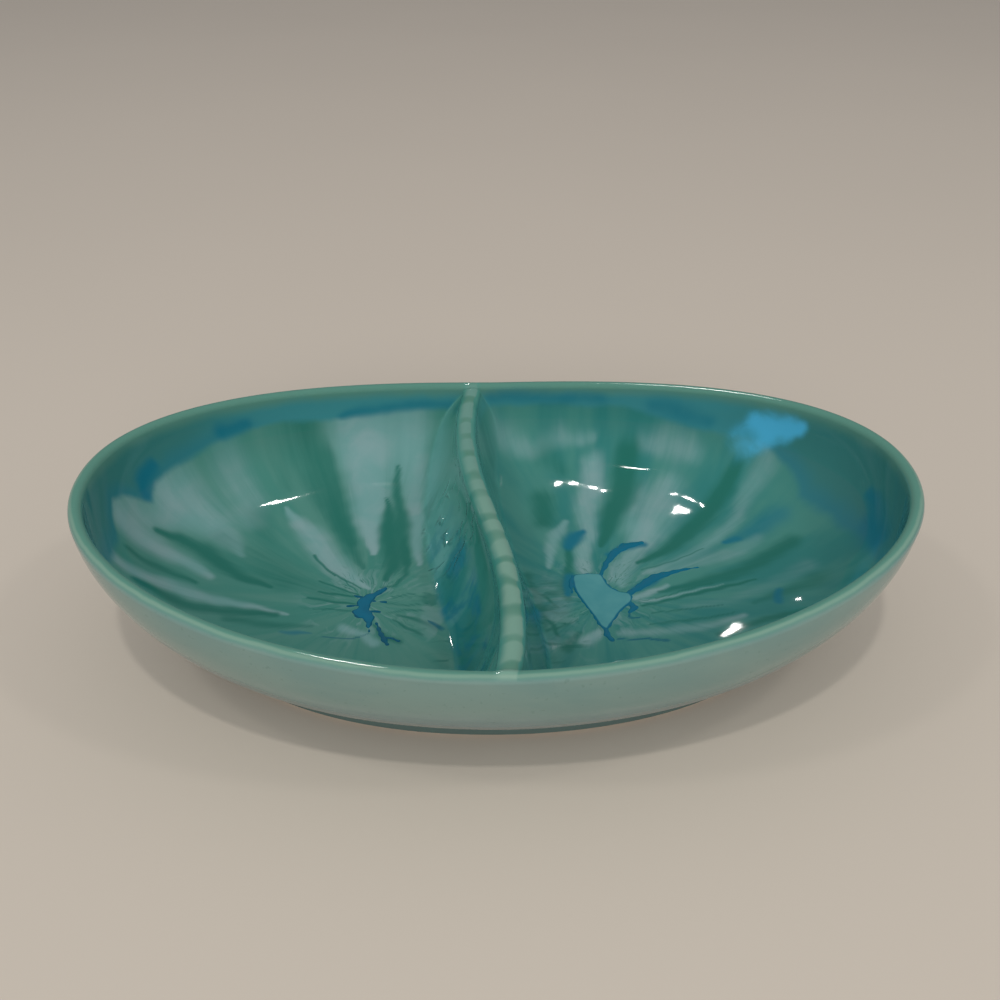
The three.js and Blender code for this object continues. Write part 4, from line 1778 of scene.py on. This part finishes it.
@dataclass
class Pool:
    """A pool where the running glaze gathered: a thin glassy patch with a round shore and veins."""

    name: str
    outline: tuple[tuple[float, float], ...]
    veins: tuple[Run, ...]
    rise: float
    shore: float
    ragged: float
    cell: float = 0.25
    sink: float = 0.25
    steps: int = 14
    margin: float = 3.0
    overlap: float = 0.3
    nudge: float = 0.02
    least_slope: float = 0.2
    shore_rounds: int = 4

    def shoreline(self) -> Array:
        """Draw the smooth closed line through the outline's places."""
        knots = np.array(self.outline, float)
        before, after, beyond = (np.roll(knots, shift, axis=0) for shift in (1, -1, -2))
        line = []
        for t in np.arange(self.steps) / self.steps:
            bend = 2.0 * before - 5.0 * knots + 4.0 * after - beyond
            twist = 3.0 * (knots - after) + beyond - before
            line.append(0.5 * (2.0 * knots + (after - before) * t + bend * t**2 + twist * t**3))
        return np.stack(line, axis=1).reshape(-1, 2)

    def basin(self, places: Array) -> Array:
        """Measure how far places are from the outline.

        Args:
            places: Plan places.

        Returns:
            The distances, which are negative inside it.
        """
        line = self.shoreline()
        best = np.full(len(places), np.inf)
        inside = np.zeros(len(places), bool)
        for a, b in zip(line, np.roll(line, -1, axis=0)):
            share = np.clip(((places - a) @ (b - a)) / max(float((b - a) @ (b - a)), 1e-12), 0.0, 1.0)
            best = np.minimum(best, np.linalg.norm(places - a - share[:, None] * (b - a), axis=1))
            crosses = (a[1] > places[:, 1]) != (b[1] > places[:, 1])
            reach = a[0] + (places[:, 1] - a[1]) * (b[0] - a[0]) / (b[1] - a[1] + 1e-12)
            inside ^= crosses & (places[:, 0] < reach)
        return np.where(inside, -best, best)

    def gap(self, places: Array) -> Array:
        """Measure how far places are from the shore.

        Args:
            places: Plan places.

        Returns:
            The distances, which are negative in the pool and in its veins.
        """
        x, y = places.T
        gaps = [vein.gap(x, y) for vein in self.veins]
        jags = np.sin(1.3 * x + 0.6 * y) + np.sin(0.8 * x - 1.6 * y + 1.0)
        return np.min([self.basin(places), *gaps], axis=0) + self.ragged * jags

    def ashore(self, places: Array) -> Array:
        """Move places that lie near the shore onto it.

        Args:
            places: Plan places.

        Returns:
            The moved places.
        """
        for _ in range(self.shore_rounds):
            here = self.gap(places)
            slope = [(self.gap(places + step) - here) / self.nudge for step in np.eye(2) * self.nudge]
            slope = np.stack(slope, axis=-1)
            steep = np.maximum((slope**2).sum(axis=1), self.least_slope)
            places = places - slope * np.clip(here / steep, -self.cell, self.cell)[:, None]
        return places

    def build(self, lining: Lining, material: bpy.types.Material) -> bpy.types.Object:
        """Make the pool on the lining.

        Args:
            lining: What it lies on.
            material: Its finish.

        Returns:
            The piece.
        """
        spots = [place[:2] for vein in self.veins for place in vein.places]
        line = np.concatenate([self.shoreline(), np.array(spots, float)])
        low, high = line.min(axis=0) - self.margin, line.max(axis=0) + self.margin
        counts = np.ceil((high - low) / self.cell).astype(int) + 1
        x, y = np.meshgrid(*(low[k] + self.cell * np.arange(counts[k]) for k in range(2)), indexing="ij")
        places = np.stack([x.ravel(), y.ravel()], axis=-1)
        gap = self.gap(places)
        quads = grid_quads(counts[0], counts[1], False)[:, ::-1]
        quads = quads[(gap[quads] < self.overlap * self.cell).all(axis=1)]
        used, uses = np.unique(quads, return_counts=True)
        border = used[uses < 4]
        places[border], gap[border] = self.ashore(places[border]), 0.0
        index = np.zeros(len(places), int)
        index[used] = np.arange(len(used))
        places, depth = places[used], np.clip(-gap[used], 0.0, None)
        share = np.minimum(depth / self.shore, 1.0)
        bulge = self.rise * np.sqrt(np.clip(1.0 - (1.0 - share) ** 2, 0.0, None))
        z = lining.height(places[:, 0], places[:, 1]) + bulge
        patch = Patch(np.column_stack([places, z]), index[quads])
        marks = {"shore": -self.basin(places)}
        piece = add_shell(self.name, patch, shared_normals([patch])[0], 0.0, material, marks)
        count = len(places)
        for vertex in list(piece.data.vertices)[count:]:
            vertex.co.z = (z[vertex.index - count] - bulge[vertex.index - count] - self.sink) * MM
        return piece


@dataclass(frozen=True)
class Viewpoint:
    """Where the dish is seen from, as angles in degrees and a distance from its origin in millimetres."""

    distance: float = 405.1
    elevation: float = 39.79
    tilt: float = 5.97
    pan: float = 0.13
    yaw: float = 1.16
    lens: float = 36.0
    sensor: float = 36.0

    def add_camera(self) -> None:
        """Add the camera and make it the scene's own."""
        high, down, pan = (math.radians(a) for a in (self.elevation, self.elevation - self.tilt, self.pan))
        turned = Matrix.Rotation(math.radians(-self.yaw), 3, "Z")
        place = turned @ Vector((0.0, -math.cos(high), math.sin(high))) * self.distance * MM
        ahead = Vector((math.sin(pan) * math.cos(down), math.cos(pan) * math.cos(down), -math.sin(down)))
        right = Vector((math.cos(pan), -math.sin(pan), 0.0))
        above = right.cross(ahead)
        axes = [turned @ axis for axis in (right, above, -ahead)]
        camera = bpy.data.objects.new("camera", bpy.data.cameras.new("camera"))
        camera.data.sensor_fit = "HORIZONTAL"
        camera.data.sensor_width, camera.data.lens = self.sensor, self.lens
        camera.data.clip_start = 0.01
        camera.matrix_world = Matrix.Translation(place) @ Matrix(axes).transposed().to_4x4()
        bpy.context.scene.collection.objects.link(camera)
        bpy.context.scene.camera = camera


class Duty(Enum):
    """What a lamp is for: to light the dish softly, or to show as a glint on it."""

    SOFT = "soft"
    GLINT = "glint"


@dataclass(frozen=True)
class Lamp:
    """An oblong studio lamp that faces the dish from a place in metres."""

    name: str
    duty: Duty
    place: tuple[float, float, float]
    width: float
    depth: float
    power: float
    only: str = ""
    colour: tuple[float, float, float] = (1.0, 0.97, 0.94)

    def add(self) -> None:
        """Hang the lamp, and let it light only the piece that it is meant for."""
        light = bpy.data.lights.new(self.name, "AREA")
        light.shape, light.size, light.size_y = "RECTANGLE", self.width, self.depth
        light.energy, light.color = self.power, self.colour
        lamp = bpy.data.objects.new(self.name, light)
        lamp.location = self.place
        lamp.rotation_euler = Vector(self.place).to_track_quat("Z", "Y").to_euler()
        lamp.visible_glossy = self.duty is Duty.GLINT
        lamp.visible_diffuse = self.duty is Duty.SOFT
        if self.only:
            lit = bpy.data.collections.new(self.name)
            lit.objects.link(bpy.data.objects[self.only])
            lamp.light_linking.receiver_collection = lit
        bpy.context.scene.collection.objects.link(lamp)


@dataclass(frozen=True)
class Studio:
    """A plain pale floor under soft light, with a few small lamps for the glints."""

    floor_size: float = 14.0
    floor_colour: Colour = tint(199, 190, 177)
    floor_cloud: float = 1.04
    sky: Colour = (0.5, 0.495, 0.505, 1.0)
    mirrored_sky: Colour = (0.13, 0.13, 0.13, 1.0)
    lamps: tuple[Lamp, ...] = (
        Lamp("soft_top", Duty.SOFT, (-0.1, -0.9, 3.0), 0.16, 0.12, 15.0),
        Lamp("soft_left", Duty.SOFT, (-1.0, -0.2, 1.6), 0.18, 0.18, 2.2),
        Lamp("soft_right", Duty.SOFT, (1.05, -0.2, 1.56), 0.18, 0.18, 2.2),
        Lamp("soft_front", Duty.SOFT, (0.0, -1.9, 1.05), 1.4, 0.8, 18.0),
        Lamp("glint_left_one", Duty.GLINT, (0.24, 1.15, 2.235), 0.03, 0.14, 1.45, "left_well"),
        Lamp("glint_left_two", Duty.GLINT, (0.18, 1.16, 2.235), 0.025, 0.12, 1.0, "left_well"),
        Lamp("glint_right_one", Duty.GLINT, (0.1, 1.335, 2.168), 0.02, 0.09, 0.62, "right_well"),
        Lamp("glint_right_two", Duty.GLINT, (0.146, 1.237, 2.221), 0.02, 0.09, 0.62, "right_well"),
        Lamp("glint_right_three", Duty.GLINT, (0.281, 1.438, 2.081), 0.025, 0.05, 0.43, "right_well"),
        Lamp("glint_top", Duty.GLINT, (-0.287, 0.267, 2.489), 0.03, 0.12, 1.25, "right_well"),
        Lamp("glint_low", Duty.GLINT, (0.143, 2.196, 1.139), 0.03, 0.03, 0.3, "right_well"),
        Lamp("glint_wall", Duty.GLINT, (-1.95, 1.5, 0.9), 0.55, 0.4, 42.0, "divider_coat"),
        Lamp("glint_rim", Duty.GLINT, (-0.25, 1.0, 2.2), 0.18, 0.25, 8.0, "rim_coat"),
    )

    def build(self) -> bpy.types.Object:
        """Lay the floor and hang the lamps.

        Returns:
            The floor.
        """
        web, shader, material = new_material("pale_floor", {"Roughness": 0.6})
        cloud = web.noise(web.place(), 3.0, 2.0)
        paler = tuple(min(1.0, channel * self.floor_cloud) for channel in self.floor_colour[:3]) + (1.0,)
        web.put(shader.inputs["Base Color"], web.mix(cloud, self.floor_colour, paler))
        half = self.floor_size / 2.0
        mesh = bpy.data.meshes.new("floor")
        corners = [(-half, -half, 0.0), (half, -half, 0.0), (half, half, 0.0), (-half, half, 0.0)]
        mesh.from_pydata(corners, [], [(0, 1, 2, 3)])
        mesh.materials.append(material)
        for lamp in self.lamps:
            lamp.add()
        world = bpy.data.worlds.new("studio")
        world.use_nodes = True
        sky = Web(world.node_tree)
        seen = sky.node("ShaderNodeLightPath").outputs["Is Glossy Ray"]
        background = world.node_tree.nodes["Background"]
        sky.put(background.inputs["Color"], sky.mix(seen, self.sky, self.mirrored_sky))
        bpy.context.scene.world = world
        return add_object("floor", mesh)


class Dish:
    """The whole dish: its forms, its finishes and its pieces."""

    def __init__(self) -> None:
        """Take the forms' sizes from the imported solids."""
        low, high = (np.array(corner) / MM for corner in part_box("bowl_shell"))
        length, width, _ = (high - low).tolist()
        self.bowl = BowlForm(length, width, float(high[2]))
        foot_low, foot_high = (np.array(corner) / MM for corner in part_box("foot_ring"))
        foot = (foot_high - foot_low).tolist()
        self.lining = Lining(self.bowl, DividerForm(self.bowl))
        self.outer = OuterCoat(self.bowl, *foot)
        self.foot = FootRing(*foot, self.bowl)
        self.body = ClayBody(self.bowl, self.outer)

    def settle(self, piece: bpy.types.Object, slot: Slot, *nodes: str) -> None:
        """Let a piece stand for its solids.

        Args:
            piece: The piece.
            slot: Not used.
            *nodes: Names of the solids that it replaces.
        """
        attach(piece, BODY)
        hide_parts(*nodes)
        LOG.info("%s stands for %s with %d faces", piece.name, ", ".join(nodes), len(piece.data.polygons))

    def marks(self, points: Array, over: Array | None = None) -> dict[str, Array]:
        """Work out what the running glaze reads at each place.

        Args:
            points: The places.
            over: Distances over the rim from its top, where they are known.

        Returns:
            Values by name.
        """
        x, y, z = points.T
        lining, bowl, divider = self.lining, self.bowl, self.lining.divider
        ridge = x - divider.crest_line(y)
        heart = np.where((ridge < 0.0)[:, None], np.array(lining.left_heart), np.array(lining.right_heart))
        away = np.stack([x, y], axis=-1) - heart
        distance = np.maximum(np.linalg.norm(away, axis=1), TINY)
        if over is None:
            over = math.pi / 2.0 * bowl.glazed_bead + bowl.edge_height(x, y) - z
        proud = np.clip(divider.height(x, y) - bowl.inside(x, y), -FLANK_LIMIT, FLANK_LIMIT)
        turn = (np.degrees(bowl.turn_at(x, y)) + 90.0) % 360.0 - 90.0
        marks = {
            "run": np.column_stack([away / distance[:, None], distance / RUN_UNIT]),
            "over": over,
            "ridge": ridge,
            "flank": proud,
            "band": over - np.interp(turn, *zip(*BAND_EDGE)),
        }
        plan, round_rim = wander(x, y), wander(turn * RIM_PITCH, over)
        for tone in Tone:
            clear = np.ones(len(x))
            for runs, places in ((LEFT_RUNS + RIGHT_RUNS, plan), (RIM_RUNS, round_rim)):
                for run in (run for run in runs if run.tone is tone):
                    clear = clear * (1.0 - run.mask(*places))
            marks[tone.value] = 1.0 - clear
        return marks

    def build_lining(self, glaze: bpy.types.Material) -> None:
        """Make the wells, the dividing wall's coat and the rim.

        Args:
            glaze: Their finish.
        """
        lining = self.lining
        patches = [lining.well(Side.LEFT), lining.well(Side.RIGHT), lining.wall(), lining.rim()]
        normals = shared_normals(patches)
        rim = patches[3]
        columns = len(rim.points) // (lining.rim_rows + 1)
        kept = lining.rim_rows * columns
        patches[3] = Patch(rim.points[:kept], rim.quads[: kept - columns])
        normals[3] = normals[3][:kept]
        over = np.repeat((lining.rim_angles()[:-1] - math.pi / 2.0) * self.bowl.glazed_bead, columns)
        pieces = (
            ("left_well", Slot.TEAL, ("left_well_glaze",), None),
            ("right_well", Slot.TEAL, ("right_well_glaze",), None),
            ("divider_coat", Slot.TEAL, ("divider_glaze", "divider_wall"), None),
            ("rim_coat", Slot.CELADON, ("rim_glaze",), over),
        )
        for (name, slot, nodes, known), patch, normal in zip(pieces, patches, normals):
            marks = self.marks(patch.points, known)
            piece = add_shell(name, patch, normal, lining.thickness, glaze, marks)
            self.settle(piece, slot, *nodes)

    def build_pools(self, skin: bpy.types.NodeTree) -> None:
        """Make the pools of glaze.

        Args:
            skin: The fired skin's group.
        """
        left = Pool(
            "left_pool",
            (
                (-44.5, -3), (-48, -6.5), (-52, -9), (-54.5, -12.5), (-54, -16), (-55.5, -19),
                (-53.5, -22), (-51, -23.5), (-49.5, -28), (-48, -31), (-48, -26), (-47, -21),
                (-49, -17.5), (-49, -13), (-47, -9), (-44, -6),
            ),
            (
                Run(Tone.VEIN, ((-49, -18, 0.8), (-44.5, -18.6, 0.3))),
                Run(Tone.VEIN, ((-52, -10, 0.6), (-57, -8.6, 0.3))),
                Run(Tone.VEIN, ((-54, -15, 0.6), (-58, -15.6, 0.3))),
                Run(Tone.VEIN, ((-46, -25, 0.4), (-44, -31, 0.8), (-42, -36, 1.1), (-41, -38, 0.5))),
                Run(Tone.VEIN, ((-43.4, -33, 0.6), (-37, -36, 0.4))),
                Run(Tone.VEIN, ((-48, -12, 0.6), (-43.6, -12.4, 0.3))),
            ),
            rise=0.4,
            shore=1.4,
            ragged=0.22,
        )
        right = Pool(
            "right_pool",
            (
                (30, 3), (36, 4), (41, 3), (43.5, -4), (47, -8), (51, -10), (51, -15),
                (46, -21), (41.5, -28.5), (39.5, -31), (37, -28), (34.5, -20), (31, -11), (29.5, -4),
            ),
            (
                Run(Tone.VEIN, ((41, 3, 0.7), (44, 10, 1.2), (48, 17, 1.8), (53, 21, 2.2), (60, 22.4, 1))),
                Run(Tone.VEIN, (
                    (50.6, -10, 1.2), (56, -5.4, 2), (62, -0.6, 1.9), (70, 2, 1.1), (80, 3.6, 0.3),
                )),
                Run(Tone.VEIN, ((39.5, -31, 1), (39.5, -34, 1.2), (41, -37.5, 0.8))),
                Run(Tone.VEIN, ((50, -15, 0.8), (51.5, -18.5, 1.6), (49.5, -21.5, 0.8))),
                Run(Tone.VEIN, ((29.6, 3, 0.6), (28.4, -3, 0.8), (28.7, -8, 0.4))),
            ),
            rise=0.5,
            shore=2.4,
            ragged=0.15,
        )
        ink = PooledGlaze("blue_pool", tint(2, 97, 125), tint(6, 110, 140), tint(2, 88, 114), 0.5)
        lake = PooledGlaze("pale_pool", tint(71, 146, 152), tint(83, 154, 158), tint(4, 104, 131), 1.1)
        for pool, finish, node in ((left, ink, "left_glaze_pool"), (right, lake, "right_glaze_pool")):
            self.settle(pool.build(self.lining, finish.material(skin)), Slot.POOL, node)

    def build(self) -> None:
        """Make every piece."""
        skin, tone, feather = glaze_skin_group(), celadon_group(), feather_group()
        clay = BareClay().material()
        self.settle(self.body.build(clay), Slot.CLAY, "bowl_shell")
        self.settle(self.foot.build(clay), Slot.CLAY, "foot_ring")
        self.settle(self.outer.build(Celadon().material(skin, tone)), Slot.CELADON, "outer_glaze")
        self.build_lining(RunningGlaze().material(skin, tone, feather))
        self.build_pools(skin)


def main() -> None:
    """Set the view, build the dish and the studio, and log each piece's faces."""
    logging.basicConfig(level=logging.INFO, format="%(message)s")
    Viewpoint().add_camera()
    Dish().build()
    Studio().build()
    bpy.context.scene.view_settings.view_transform = "Standard"


if __name__ == "__main__":
    main()
